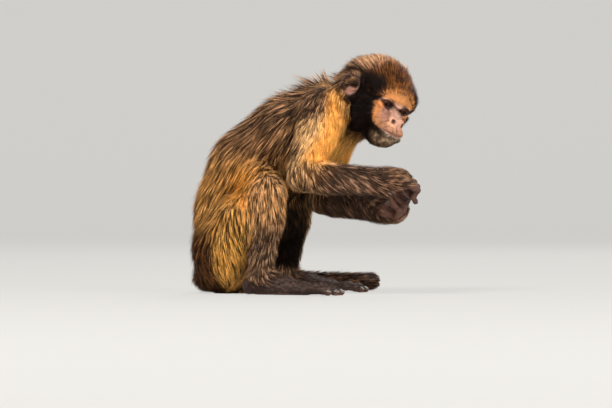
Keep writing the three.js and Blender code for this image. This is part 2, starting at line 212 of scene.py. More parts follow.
def oval_distance(local, radii):
    """Distance to an ellipsoid, about right near it: k (k - 1) / m, where k is the length of the place
    over the radii and m its length over their squares."""
    k = np.sqrt(np.sum((local / radii) ** 2, axis=-1))
    m = np.sqrt(np.sum((local / radii**2) ** 2, axis=-1))
    return k * (k - 1) / np.maximum(m, 1e-6)


# A form is its distance, its middle and how far it reaches from there.
def egg(middle, radii, turn=np.eye(3)):
    """An ellipsoid."""
    middle, radii = np.array(middle, float), np.array(radii, float)
    return lambda points: oval_distance((points - middle) @ turn, radii), middle, radii.max()


def ball(middle, radius):
    """An ellipsoid with three equal radii."""
    return egg(middle, vec(1, 1, 1) * radius)


def share_along(points, a, along):
    """How far along a segment each place is, from 0 at its start to 1 at its end."""
    return np.clip((points - a) @ along / (along @ along), 0, 1)[..., None]


def rod(a, b, radius_a, radius_b):
    """A round rod: distance to the segment, less a radius that runs evenly from one end to the other."""
    a, b = np.array(a, float), np.array(b, float)
    along = b - a

    def distance(points):
        t = share_along(points, a, along)
        return gap(points - a - t * along) - mix(radius_a, radius_b, t[..., 0])

    return distance, (a + b) / 2, np.sqrt(along @ along) / 2 + max(radius_a, radius_b)


def oval_rod(a, b, size_a, size_b, across):
    """A rod whose section is an oval: sizes are the half-width along the vector across and the half-depth
    square to it. The distance is the ellipsoid's, with radii that run evenly from one end to the other."""
    a, b = np.array(a, float), np.array(b, float)
    along = b - a
    way = unit(along)
    wide = unit(across - (across @ way) * way)
    turn = np.stack([wide, np.cross(way, wide), way], axis=1)
    sizes = np.array([[*size_a, min(size_a)], [*size_b, min(size_b)]], float)

    def distance(points):
        t = share_along(points, a, along)
        return oval_distance((points - a - t * along) @ turn, mix(sizes[0], sizes[1], t))

    return distance, (a + b) / 2, np.sqrt(along @ along) / 2 + sizes.max()


def both(make):
    """A form on each side of the head, as a list of two."""
    return [make(-1), make(1)]


# A part is a list of (form, width of its blend, +1 for flesh or -1 for a hollow).
def flesh(width, *forms):
    """Forms that are joined to a part, each with the same width of blend."""
    return [(form, width, 1) for form in forms]


def cut(width, *forms):
    """Forms that are hollowed out of a part."""
    return [(form, width, -1) for form in forms]


FAR = 16.0  # distances are known this far from each form


def part_distance(part, points):
    """The distance to a part's forms, joined one after the other, without those too far off to matter."""
    low, high = points.min(axis=0), points.max(axis=0)
    total = np.full(len(points), FAR)
    for (distance, middle, size), width, sign in part:
        if np.any(middle + size + FAR < low) or np.any(middle - size - FAR > high):
            continue
        d = distance(points)
        total = join(total, d, width) if sign > 0 else -join(-total, d, width)
    return total


# ---- flesh


def sections(width, rows, across):
    """Flesh of oval rods, from each section (middle, half-width, half-depth) to the next."""
    pairs = zip(rows, rows[1:])
    return flesh(width, *[oval_rod(a, b, size_a, size_b, across) for (a, *size_a), (b, *size_b) in pairs])


def trunk_part():
    """Sections up the spine, and a fold of flesh from each flank to the thigh."""
    folds = [rod([-52, 30 * s, 138], [-24, 54 * s, 120], 16, 11) for s in SIDES.values()]
    return sections(7, SPINE, ACROSS) + flesh(14, *folds)


# Each row: how many bones down the limb, then its half-width and half-depth there.
ARM_SIZES = [(0, 17, 20), (0.45, 15.5, 18.5), (1, 11, 12), (1.3, 12, 13.5), (1.75, 9, 11), (2, 8, 9.5)]
LEG_SIZES = [(0, 22, 29), (0.5, 19, 29), (1, 12.5, 14), (1.4, 12.5, 16.5), (1.8, 9, 12), (2, 8.5, 10)]


def limb_part(width, top, bend, end, sizes):
    """A limb of two bones; across is square to the plane that it bends in."""
    rows = [(mix(top, bend, run) if run < 1 else mix(bend, end, run - 1), *size) for run, *size in sizes]
    return sections(width, rows, unit(np.cross(bend - top, end - bend)))


def digit(root, heading, pad, bones, bends, radius):
    """A finger or toe, as its joints, its radius and the way its pad faces: each bone turns a little
    further towards the pad's side."""
    joints, way = [root], unit(heading)
    for bone, bend in zip(bones, bends):
        sideways = unit(pad - (pad @ way) * way)
        way = way * np.cos(np.radians(bend)) + sideways * np.sin(np.radians(bend))
        joints.append(joints[-1] + bone * way)
    return joints, radius, pad


def digits_part(digits):
    """Rods that taper along each digit, with a ball at its two middle knuckles."""
    part = []
    for joints, radius, _ in digits:
        sizes = radius * vec(1.1, 1.08, 0.98, 0.82) - 0.3
        part += flesh(1.2, *[rod(*bone) for bone in zip(joints, joints[1:], sizes, sizes[1:])])
        part += flesh(1.2, *[ball(joint, size * 1.09) for joint, size in zip(joints[1:3], sizes[1:3])])
    return part


def hand_axes(n):
    """Forward from wrist to knuckles, towards the thumb, and out of the palm."""
    turn, inside, _, _ = HAND_POSE[n]
    f = unit(turn)
    palm = unit(inside - (inside @ f) * f)
    return f, np.cross(f, palm) * -SIDES[n], palm


# The long digits have three bones, with a share of the longest's length for each from the thumb's side.
FINGER_BONES, FINGER_SHARES, FINGER_RADIUS = vec(17, 12, 9), [0.92, 1, 0.97, 0.82], 3.55
TOE_BONES, TOE_SHARES, TOE_RADIUS = vec(16, 12, 9), [0.95, 1, 0.95, 0.84], 4.3
THUMB_BONES, THUMB_RADIUS = [13, 11, 8], 4.4
GREAT_TOE_BONES, GREAT_TOE_RADIUS = [18, 12, 9], 5.1
TOE_BENDS, GREAT_TOE_BENDS = [0, 16, 14], [0, 10, 8]
FEET_OUT = 0.1  # how far the feet turn out, in radians


def spreads(shares):
    """For each long digit its share, and where it starts across: from 1 on the thumb's side to -1."""
    return [(share, 1 - 2 * i / (len(shares) - 1)) for i, share in enumerate(shares)]


def hand_digits(n):
    """Four fingers from the thumb's side, then the thumb."""
    f, thumb_side, palm = hand_axes(n)
    _, _, bends, thumb_bends = HAND_POSE[n]
    place = placer(WRIST[n], f, thumb_side, palm)
    digits = []
    for share, spread in spreads(FINGER_SHARES):
        root = place(PALM - 3 - abs(spread) * 2, spread * 12.4, 1)
        heading = f + spread * 0.16 * thumb_side
        digits.append(digit(root, heading, palm, FINGER_BONES * share, bends, FINGER_RADIUS))
    heading = 0.75 * f + 0.75 * thumb_side + 0.35 * palm
    return digits + [digit(place(8, 11, 3), heading, palm, THUMB_BONES, thumb_bends, THUMB_RADIUS)]


def hand_part(n):
    """The palm between the wrist and the knuckles, three pads on it, the digits, and three creases."""
    axes = hand_axes(n)
    turn = np.stack(axes, axis=1)
    place = placer(WRIST[n], *axes)
    rows = [(place(-3, 0, 0), 10.5, 8.4), (place(13, 0, 1), 15.2, 9), (place(PALM - 6, -1, 1), 15, 7.4)]
    pads = [
        egg(place(13, 9.5, 5), [10, 5, 5], turn),
        egg(place(13, -8, 5.5), [11, 5, 4.5], turn),
        egg(place(PALM - 7, 0, 5), [4, 12, 3.6], turn),
    ]
    creases = [
        rod(place(24, -13, 9.5), place(22, 7, 9.5), 0.9, 0.9),
        rod(place(18, -12, 10.2), place(25, 11, 9), 0.8, 0.8),
        rod(place(4, 5, 9.8), place(20, 3, 10.2), 0.9, 0.7),
    ]
    return sections(5, rows, axes[1]) + flesh(5, *pads) + digits_part(hand_digits(n)) + cut(1.2, *creases)


def foot_axes(n):
    """Forward from heel to toes, and towards the great toe."""
    c, s = np.cos(FEET_OUT), np.sin(FEET_OUT)
    return vec(c, s * SIDES[n], 0), vec(s, -c * SIDES[n], 0)


def foot_digits(n):
    """Four toes from the great toe's side, then the great toe."""
    f, inward = foot_axes(n)
    digits = []
    for share, spread in spreads(TOE_SHARES):
        root = HEEL[n] + (60 - abs(spread) * 2) * f + (spread * 11.5 - 1) * inward + 6.6 * UP
        heading = f + spread * 0.14 * inward + 0.12 * UP
        digits.append(digit(root, heading, -UP, TOE_BONES * share, TOE_BENDS, TOE_RADIUS))
    root = HEEL[n] + 32 * f + 10 * inward + 6 * UP
    heading = 0.85 * f + 0.62 * inward
    return digits + [digit(root, heading, -UP, GREAT_TOE_BONES, GREAT_TOE_BENDS, GREAT_TOE_RADIUS)]


def foot_part(n):
    """The sole and instep from the heel to the toes, and the toes."""
    f, inward = foot_axes(n)
    place = placer(HEEL[n], f, inward, UP)
    rows = [
        (place(-13, 0, 10), 9, 9),
        (place(2, 0, 14), 11, 13),
        (place(26, 0, 10.5), 12.5, 11),
        (place(56, -1, 7.5), 14.5, 7.3),
    ]
    return sections(5, rows, inward) + digits_part(foot_digits(n))


def tail_part():
    """Rods through every other point of the tail, from its thick base to its tip."""
    points, radii = TAIL[::2], np.linspace(9, 4.6, len(TAIL))[::2]
    return flesh(2, *[rod(*bone) for bone in zip(points, points[1:], radii, radii[1:])])


# ---- head


def nostril(s):
    """A slanted slot that opens forwards and outwards."""
    return egg([15.2, 6.6 * s, -16.4], [4.4, 1.8, 2.6], turned_about(2, 42 * s) @ turned_about(0, -24 * s))


HEAD_FLESH = (
    flesh(4, egg([-48, 0, 6], [37.5, 35, 36]))
    + flesh(9, egg([-15, 0, 14.5], [12, 28, 8.5]))
    + flesh(9, *both(lambda s: egg([-28, 17 * s, -20], [14.5, 14, 22])))
    + flesh(8, egg([-66, 0, 0], [18, 27, 20]), egg([-12, 0, -35], [15, 14, 12]))
    + flesh(8, egg([-15, 0, -4], [13.5, 26.5, 22]))
    + flesh(8, *both(lambda s: egg([-15, 15.5 * s, -16], [11.5, 9.5, 12])))
    + flesh(9, egg([0, 0, -26], [19.4, 16.6, 12.6]))
    + flesh(6, egg([2, 0, -37], [13.4, 12.6, 8.6]))
    + flesh(9, oval_rod([-4, 0, 7], [9.6, 0, -12.5], (5.5, 4), (7.5, 4.6), ACROSS))
    + flesh(4, egg([10.5, 0, -15.5], [5.6, 7.6, 4.6]))
    + flesh(8, *both(lambda s: rod([-1.5, 4 * s, 9.6], [-8.5, 24 * s, 6.6], 4.6, 4.4)))
    + flesh(3, *both(lambda s: ball([-EYE_RADIUS, EYE_APART * s, 0], 10.0)))
    + flesh(3, *both(lambda s: egg([12.2, 5.9 * s, -15.8], [3.9, 3.4, 3.9])))
    + flesh(3, rod([16.4, -8, -26.4], [16.4, 8, -26.4], 3.6, 3.6))
    + flesh(3, rod([13.2, -10, -31.8], [13.2, 10, -31.8], 4, 4))
    + cut(1.0, *both(nostril))
    + cut(1.6, rod([17.6, 0, -19.5], [20.9, 0, -26], 0.8, 0.8))
    + cut(2.5, *both(lambda s: rod([9.5, 9.8 * s, -18], [3.8, 16.6 * s, -26], 0.8, 0.6)))
    + cut(1.2, rod([20.7, -5, -29.3], [20.7, 5, -29.3], 1.0, 1.0))
    + cut(1.2, *both(lambda s: rod([20.7, 5 * s, -29.3], [16.7, 11 * s, -29.6], 1.0, 1.0)))
    + cut(1.2, *both(lambda s: rod([16.7, 11 * s, -29.6], [8.2, 15.6 * s, -28.4], 1.0, 0.8)))
)

# The lids: an opening this wide and high, in shares of the eye's radius, tilted up at its outer end.
LID_WIDE, LID_UP, LID_DOWN = 0.68, 0.29, 0.38
LIDS_REACH = 18  # the lids end this far from the middle of the eye
GAZE = unit(vec(1, -0.08, -0.2))  # the way that both eyes look, in the head's frame


def lid_place(local, s):
    """How far a place is outside the opening of the lids, 0 on their edge and 1 a whole opening away.
    It is the length of its sideways and upward shares of the eye's radius, each over the opening's."""
    q = unit(from_eye(local, s))
    side = q[..., 1] * s + 0.10
    up = q[..., 2] + 0.08 - 0.12 * side
    high = np.where(up > 0, LID_UP, LID_DOWN)
    pinch = 1 - 0.35 * np.clip(np.abs(side) / LID_WIDE, 0, 1) ** 2
    outside = np.sqrt((side / LID_WIDE) ** 2 + (up / (high * pinch)) ** 2) - 1
    return np.where(q[..., 0] > 0, outside, 4.0), up


def carve_lids(total, local):
    """Opens each lid down to inside the eyeball, and rolls its edge, with a crease above and a bag below.
    Each of the three is a bell of how far a place is outside the opening."""
    for s in SIDES.values():
        r = gap(from_eye(local, s))
        if r.min() > LIDS_REACH:
            continue
        outside, up = lid_place(local, s)
        edge = 0.45 * bell((outside - 0.22) / 0.2)
        crease = 0.55 * bell((outside - 0.75) / 0.14) * ramp(0.0, 0.25, up)
        bag = 0.5 * bell((outside - 0.95) / 0.12) * ramp(0.0, -0.25, up)
        total = total - ramp(LIDS_REACH - 1, EYE_RADIUS + 3.5, r) * (edge - crease - bag)
        opening = np.maximum(outside * 4.0, EYE_RADIUS - 0.8 - r)
        total = -join(-total, opening, 0.7)
    return total


EAR_SIZE, CUP_SIZE = vec(13.5, 8.5, 16.5), vec(9.6, 6.2, 11.8)


def ear_frame(s):
    """An ear's middle, the way it is turned, and the middle of its cup in its own frame."""
    out, back, lean = np.degrees([-0.6 * s, 0.1, 0.15 * s])
    turn = turned_about(2, out) @ turned_about(1, back) @ turned_about(0, lean)
    return vec(-42, 43 * s, 0), turn, vec(2, 4.6 * s, 0.5)


def ear_part(s):
    """A flattened cup with a rolled rim, a lobe and a small flap in front of its opening."""
    middle, turn, cup = ear_frame(s)
    place = placer(middle, *turn.T)
    part = flesh(1, egg(middle, [12.6, 6.6, 15.6], turn)) + cut(1.5, egg(place(*cup), CUP_SIZE, turn))
    part += flesh(1.5, egg(place(6.5, -0.5 * s, -4), [2.6, 2.6, 4], turn))
    return part + flesh(1.2, rod(place(-6, -0.2 * s, 7), place(-6.5, 0.2 * s, -6), 1.5, 1.4))


EARS = [ear_part(s) for s in SIDES.values()]


def head_distance(local):
    """The distance from the head: its flesh with the lids carved in, joined to both ears."""
    total = carve_lids(part_distance(HEAD_FLESH, local), local)
    for ear in EARS:
        total = join(total, part_distance(ear, local), 2.0)
    return total


# ---- the whole field


def box_of(part, frame_of=vec):
    """The lowest and highest corner of a part's forms, in the animal's frame."""
    solid = [(frame_of(*middle), size) for (_, middle, size), _, sign in part if sign > 0]
    lows, highs = zip(*[(at - size, at + size) for at, size in solid])
    return np.min(lows, axis=0), np.max(highs, axis=0)


def group_of(part, *blend):
    """A part's distance and its box, with how it joins the rest."""
    return (lambda points: part_distance(part, points), box_of(part), *blend)


def make_groups():
    """The groups of forms. Each has its distance, its box, and how it joins the rest: its joint, how far
    the wide blend reaches from there, and the widths of the wide blend and of the narrow one beyond."""
    head_box = box_of(HEAD_FLESH + EARS[0] + EARS[1], head_point)
    groups = [
        group_of(trunk_part(), HIP["left"], 1, 1, 1),
        (lambda points: head_distance(in_head(points)), head_box, head_point(-60, 0, -20), 46, 16, 0.8),
    ]
    for n in SIDES:
        groups += [
            group_of(limb_part(5, HIP[n], KNEE[n], ANKLE[n], LEG_SIZES), HIP[n], 60, 16, 8),
            group_of(foot_part(n), ANKLE[n], 46, 8, 0.8),
            group_of(limb_part(4, SHOULDER[n], ELBOW[n], WRIST[n], ARM_SIZES), SHOULDER[n], 60, 20, 0.8),
            group_of(hand_part(n), WRIST[n], 46, 6, 0.8),
        ]
    return groups + [group_of(tail_part(), TAIL[0], 46, 16, 0.8)]


GROUPS = make_groups()
PITCH = 1.25
BLOCK = 16  # cells along each side of a block of the grid
FIELD_BLOCK = 50.0  # the side of a block of space in which distances are worked out together
GRID_LOW, GRID_SIZE = vec(-152, -112, -6), vec(312, 300, 296)
GRID_COUNT = (GRID_SIZE / PITCH).astype(int)
CORNERS = np.array([[c & 1, c >> 1 & 1, c >> 2] for c in range(8)])  # of a cell


def near_field(points):
    """The distance from the skin at places that are close together: the groups joined in turn."""
    low, high = points.min(axis=0), points.max(axis=0)
    total = np.full(len(points), FAR)
    for distance, box, joint, joint_reach, wide, narrow in GROUPS:
        if np.all(box[1] + FAR > low) and np.all(box[0] - FAR < high):
            beyond = ramp(joint_reach * 0.5, joint_reach, gap(points - joint))
            total = join(total, distance(points), mix(wide, narrow, beyond))
    return total


def field(points):
    """The distance from the skin at any places, worked out a block of space at a time."""
    block = np.floor((points - GRID_LOW) / FIELD_BLOCK).astype(int)
    key = block @ (10**6, 10**3, 1)  # a number of its own for each block
    order = np.argsort(key, kind="stable")
    total = np.empty(len(points))
    for some in np.split(order, np.flatnonzero(np.diff(key[order])) + 1):
        total[some] = near_field(points[some])
    return total


def make_grid():
    """The field at every point of an even grid, cut off level at the ground."""
    axes = [low + PITCH * np.arange(count) for low, count in zip(GRID_LOW, GRID_COUNT)]
    grid = np.full(GRID_COUNT, FAR, np.float32)
    for block in np.ndindex(*(GRID_COUNT // BLOCK + 1)):
        span = tuple(slice(i * BLOCK, (i + 1) * BLOCK) for i in block)
        some = np.meshgrid(*[axis[along] for axis, along in zip(axes, span)], indexing="ij")
        points = np.stack(some, axis=-1)
        if points.size:
            grid[span] = near_field(points.reshape(-1, 3)).reshape(points.shape[:3])
    return np.maximum(grid, (GROUND - axes[2]).astype(np.float32))


def look_up(grid, points):
    """The grid's value at any place, evenly between its eight nearest grid points."""
    q = (points - GRID_LOW) / PITCH
    i = np.clip(np.floor(q).astype(int), 0, GRID_COUNT - 2)
    f = q - i
    return sum(np.prod(np.where(c, f, 1 - f), axis=1) * grid[tuple((i + c).T)] for c in CORNERS)


def outward(distance, points, step):
    """The unit direction in which the distance grows fastest."""
    grown = [distance(points + step * axis) - distance(points - step * axis) for axis in np.eye(3)]
    return unit(np.stack(grown, axis=1))


# ---- meshes


def net(grid):
    """Surface nets: a point in each cell that the surface crosses, at the mean of the crossings of its
    edges, and a four-sided face round each grid edge that it crosses."""
    inside = grid < 0
    count = np.zeros(np.array(grid.shape) - 1, np.uint8)
    nx, ny, nz = count.shape
    for x, y, z in CORNERS:
        count += inside[x : x + nx, y : y + ny, z : z + nz]
    cells = np.argwhere((count > 0) & (count < len(CORNERS)))
    index = np.full(count.shape, -1, np.int32)
    index[tuple(cells.T)] = np.arange(len(cells))
    values = np.stack([grid[tuple((cells + c).T)] for c in CORNERS], axis=1)
    total, crossings = np.zeros((len(cells), 3)), np.zeros((len(cells), 1))
    edges_of_cell = [(a, a | 1 << axis) for a in range(8) for axis in range(3) if not a >> axis & 1]
    for a, b in edges_of_cell:
        crossed = (values[:, a] < 0) != (values[:, b] < 0)
        t = values[:, a] / np.where(crossed, values[:, a] - values[:, b], 1)
        at = CORNERS[a] + t[:, None] * (CORNERS[b] - CORNERS[a])
        total += np.where(crossed[:, None], at, 0)
        crossings += crossed[:, None]
    points = GRID_LOW + PITCH * (cells + total / crossings)
    faces = []
    for axis in range(3):
        low, high = [slice(None)] * 3, [slice(None)] * 3
        low[axis], high[axis] = slice(None, -1), slice(1, None)
        here, there = inside[tuple(low)], inside[tuple(high)]
        for leaving in (True, False):
            edges = np.argwhere(here & ~there if leaving else ~here & there)
            ring = []
            for back in ((0, 0), (1, 0), (1, 1), (0, 1)):
                at = edges.copy()
                at[:, (axis + 1) % 3] -= back[0]
                at[:, (axis + 2) % 3] -= back[1]
                ring.append(index[tuple(at.T)])
            faces.append(np.stack(ring if leaving else ring[::-1], axis=1))
    return points, np.concatenate(faces)


def place_points(mesh, points):
    """Puts places of the animal's frame into a mesh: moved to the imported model's frame, in metres."""
    mesh.vertices.foreach_set("co", ((points + SHIFT) * MM).astype(np.float32).ravel())


def paint_points(mesh, colours):
    """Gives a mesh its colours, one a point, under the name that the materials read."""
    layer = mesh.color_attributes.new("marking", "FLOAT_COLOR", "POINT")
    rgba = np.concatenate([colours, np.ones((len(colours), 1))], axis=1)
    layer.data.foreach_set("color", rgba.astype(np.float32).ravel())


def new_mesh(name, points, faces, material, colours=None, uv=None):
    """An object from arrays: points in the animal's frame, faces all of one count of corners, and a colour
    and a place on the UV map for each point. Its place is in its mesh."""
    mesh = bpy.data.meshes.new(name)
    mesh.vertices.add(len(points))
    place_points(mesh, points)
    mesh.loops.add(faces.size)
    mesh.loops.foreach_set("vertex_index", faces.astype(np.int32).ravel())
    mesh.polygons.add(len(faces))
    mesh.polygons.foreach_set("loop_start", np.arange(0, faces.size, faces.shape[1], dtype=np.int32))
    mesh.update(calc_edges=True)
    mesh.polygons.foreach_set("use_smooth", np.ones(len(faces), bool))
    if colours is not None:
        paint_points(mesh, colours)
    if uv is not None:
        layer = mesh.uv_layers.new(name="OFBake")
        layer.uv.foreach_set("vector", uv[faces.ravel()].astype(np.float32).ravel())
    mesh.materials.append(material)
    piece = bpy.data.objects.new(name, mesh)
    bpy.context.scene.collection.objects.link(piece)
    return piece


def points_of(mesh):
    """A mesh's points, back in the animal's frame and in millimetres."""
    co = np.empty(len(mesh.vertices) * 3, np.float32)
    mesh.vertices.foreach_get("co", co)
    return co.reshape(-1, 3).astype(float) / MM - SHIFT


def triangles_of(mesh):
    """The three points of each of a mesh's triangles."""
    mesh.calc_loop_triangles()
    corners = np.empty(len(mesh.loop_triangles) * 3, np.int32)
    mesh.loop_triangles.foreach_get("vertices", corners)
    return corners.reshape(-1, 3)


# ---- colours


def colour(code):
    """A colour written as six hex digits, in linear light."""
    s = np.array([int(code[i : i + 2], 16) for i in (0, 2, 4)]) / 255
    return np.where(s <= 0.04045, s / 12.92, ((s + 0.055) / 1.055) ** 2.4)


BLACK, DARK = "120b07", "2e1c12"
SKIN_PINK, SKIN_DARK, PALM_PINK = "a87a64", "3b2a24", "7a4e3c"


WAVES = 9  # sine waves in a noise


def waves(points, size, seed):
    """Smooth noise, mostly from -1 to 1: a mean of sine waves in odd directions, each about size across."""
    odd = np.random.default_rng(seed)
    ways = unit(odd.normal(size=(WAVES, 3))) * (2 * np.pi / size) * odd.uniform(0.6, 1.5, size=(WAVES, 1))
    starts = odd.uniform(0, 2 * np.pi, WAVES)
    return np.sin(points @ ways.T + starts).mean(axis=1) * 1.8


def wave_vectors(points, size, seed):
    """The same noise for each of the three axes, from seeds that follow each other."""
    return np.stack([waves(points, size, seed + i) for i in range(3)], axis=1)


# ---- regions of the coat


def lay_bones():
    """The bones as (from, to, radius, name), for the regions of the coat and the lie of its hair."""
    bones = [(a, b, (wa + wb) / 2, "trunk") for (a, wa, _), (b, wb, _) in zip(SPINE[:6], SPINE[1:6])]
    bones += [
        (SPINE[5][0] + vec(6, 0, 3), SPINE[7][0], 26, "neck"),
        (head_point(-52, 0, 6), head_point(-26, 0, -4), 34, "head"),
        (head_point(-16, 0, 4), head_point(-6, 0, -26), 22, "head"),
    ]
    for n in SIDES:
        f, forward = hand_axes(n)[0], foot_axes(n)[0]
        bones += [
            (SHOULDER[n], ELBOW[n], 15, f"upper_arm_{n}"),
            (ELBOW[n], WRIST[n], 11, f"forearm_{n}"),
            (reach(WRIST[n], 6, f), reach(WRIST[n], PALM + 10, f), 12, f"hand_{n}"),
            (HIP[n], KNEE[n], 20, f"thigh_{n}"),
            (KNEE[n], ANKLE[n], 12, f"shin_{n}"),
            (HEEL[n] + vec(-8, 0, 10), HEEL[n] + 80 * forward + vec(0, 0, 6), 11, f"foot_{n}"),
        ]
    return bones + [(a, b, 7, "tail") for a, b in zip(TAIL[::4], TAIL[4::4])]


BONE_FROM, BONE_TO, BONE_RADIUS, BONE_NAMES = [np.array(column) for column in zip(*lay_bones())]
BONE_ALONG = BONE_TO - BONE_FROM
# How the coat grows in each region: how far it stands over the skin, length, width, locks a square mm.
GROWTH = {
    "trunk": (11.0, 34, 1.15, 0.56),
    "neck": (8.0, 24, 1.0, 1.0),
    "head": (9.0, 16, 0.68, 1.45),
    "upper_arm": (6.5, 20, 0.95, 0.8),
    "forearm": (7.0, 18, 0.95, 0.66),
    "hand": (3.0, 8, 0.6, 1.1),
    "thigh": (7.5, 24, 1.0, 0.8),
    "shin": (5.5, 14, 0.9, 0.66),
    "foot": (1.1, 4.5, 0.6, 0.5),
    "tail": (6.5, 15, 1.1, 0.5),
}
REGIONS = list(GROWTH)
GROWTH_TABLE = np.array(list(GROWTH.values()))
REGION_OF = np.array([REGIONS.index(name.replace("_left", "").replace("_right", "")) for name in BONE_NAMES])
SOFTNESS = 5.0  # how widely one bone's share fades into the next


def bone_shares(points):
    """How much each place belongs to each bone: shares that fall with the distance over its radius."""
    offset = points[:, None, :] - BONE_FROM
    t = np.clip(np.sum(offset * BONE_ALONG, axis=2) / np.sum(BONE_ALONG * BONE_ALONG, axis=1), 0, 1)
    d = gap(offset - t[..., None] * BONE_ALONG) - BONE_RADIUS
    share = np.exp(-(d - d.min(axis=1, keepdims=True)) / SOFTNESS)
    return share / share.sum(axis=1, keepdims=True)


def region_shares(shares):
    """The shares of the bones of each region, added up."""
    return np.stack([shares[:, REGION_OF == i].sum(axis=1) for i in range(len(REGIONS))], axis=1)


def share_of(regions, *names):
    """The share of the named regions together."""
    return regions[:, [REGIONS.index(name) for name in names]].sum(axis=1)


def bone_flow(name, way):
    """The lie of the hair on a bone, before it is laid flat on the skin."""
    kind = name.split("_")[0]
    down = -UP
    if kind == "trunk":
        return 0.75 * -way + 0.62 * down
    if kind == "neck":
        return 0.55 * -way + 0.8 * down + vec(-0.25, 0, 0)
    if kind == "head":
        return HEAD @ vec(-1, 0, -0.15)
    if kind == "thigh":
        return 0.95 * down + 0.25 * way
    if kind == "forearm":
        return 0.85 * way + 0.6 * down
    if kind in ("upper", "shin"):
        return 0.9 * way + 0.3 * down
    return way


BONE_FLOW = np.array([bone_flow(name, way) for name, way in zip(BONE_NAMES, unit(BONE_ALONG))])


def lie_of_coat(points, normals, shares):
    """The direction of the hair: the bones' directions by their shares, on the head also away from the
    face's middle, then laid flat on the skin."""
    flow = shares @ BONE_FLOW
    on_head = share_of(region_shares(shares), "head")[:, None]
    local = in_head(points)
    from_face = local - vec(-6, 0, -8)
    from_face[:, 0] = 0
    away = unit(from_face) * vec(0, 0.15, 0.8)
    fall = np.where(local[:, 2:3] < -2, -0.5, 0.0) * UP
    flow += on_head * ((away * ramp(-70, -10, local[:, :1]) + fall) @ HEAD.T)
    flow += 0.12 * wave_vectors(points, 40, 60)
    return unit(flow - np.sum(flow * normals, axis=1, keepdims=True) * normals)


def from_nose(local):
    """How far a place on the head is from the middle of the face, 1 on the edge of its bare oval."""
    wide = np.where(local[:, 2] > -6, 25.0, 23.0)
    high = np.where(local[:, 2] > -8, 22.0, 26.5)
    return np.sqrt((local[:, 1] / wide) ** 2 + ((local[:, 2] + 8) / high) ** 2)


def face_share(local):
    """1 on the bare face and 0 where the coat has begun."""
    return ramp(1.06, 0.94, from_nose(local)) * ramp(-21, -15, local[:, 0])


def fringe_share(local):
    """1 on the edge of the face, where the coat is shortest, and 0 where it is full, sooner on the brow."""
    lift = ramp(2, 10, local[:, 2])
    return ramp(mix(2.0, 1.6, lift), mix(1.12, 0.96, lift), from_nose(local)) * ramp(-44, -20, local[:, 0])


def bone_share(shares, name):
    """The share of the bones of one name together."""
    return shares[:, BONE_NAMES == name].sum(axis=1)


def palm_share(points, shares):
    """1 on palms, soles and the insides of fingers."""
    total = np.zeros(len(points))
    for n in SIDES:
        f, _, palm = hand_axes(n)
        on_hand = ramp(0, 0.5, bone_share(shares, f"hand_{n}"))
        offset = points - WRIST[n]
        total += on_hand * ramp(0, 3, offset @ palm) * ramp(0, 6, offset @ f)
        total += on_hand * ramp(PALM - 2, PALM + 6, offset @ f)
        total += bone_share(shares, f"foot_{n}") * ramp(3.4, 2, points[:, 2])
    return np.clip(total, 0, 1)


def ear_shares(local):
    """1 on the ears, and 1 on the bare lower part of their cups."""
    whole, bare = np.zeros(len(local)), np.zeros(len(local))
    for s in SIDES.values():
        middle, turn, cup = ear_frame(s)
        q = (local - middle) @ turn
        on_ear = ramp(1.12, 1.0, gap(q / EAR_SIZE)) * ramp(36, 39, s * local[:, 1])
        inside = ramp(1.2, 1.05, gap((q - cup) / CUP_SIZE))
        strip = ramp(-1.5, 1.5, q[:, 0]) * ramp(5, 1, q[:, 2]) * ramp(-12, -8, q[:, 2])
        whole = np.maximum(whole, on_ear)
        bare = np.maximum(bare, on_ear * inside * strip)
    return whole, bare


# ---- markings

# Tufts that stand, the mane and the nape first: the middle, the size each way, and how the locks rise.
TUFTS = [
    (vec(25, -2, 231), vec(15, 14, 14), vec(-22, -3, 26)),
    (vec(39, -4, 234), vec(4.5, 7, 8), vec(-8, 3, 60)),
]
for s in SIDES.values():
    TUFTS.append((head_point(-60, 33 * s, -2), vec(9, 9, 11), HEAD @ vec(-16, 24 * s, 8)))
    TUFTS.append((head_point(-28, 13 * s, 34), vec(5, 5, 6), HEAD @ vec(1, 4 * s, 22)))


def tuft_share(points, tuft):
    """1 in a tuft's middle and less away from it."""
    return bell(gap((points - tuft[0]) / tuft[1]))


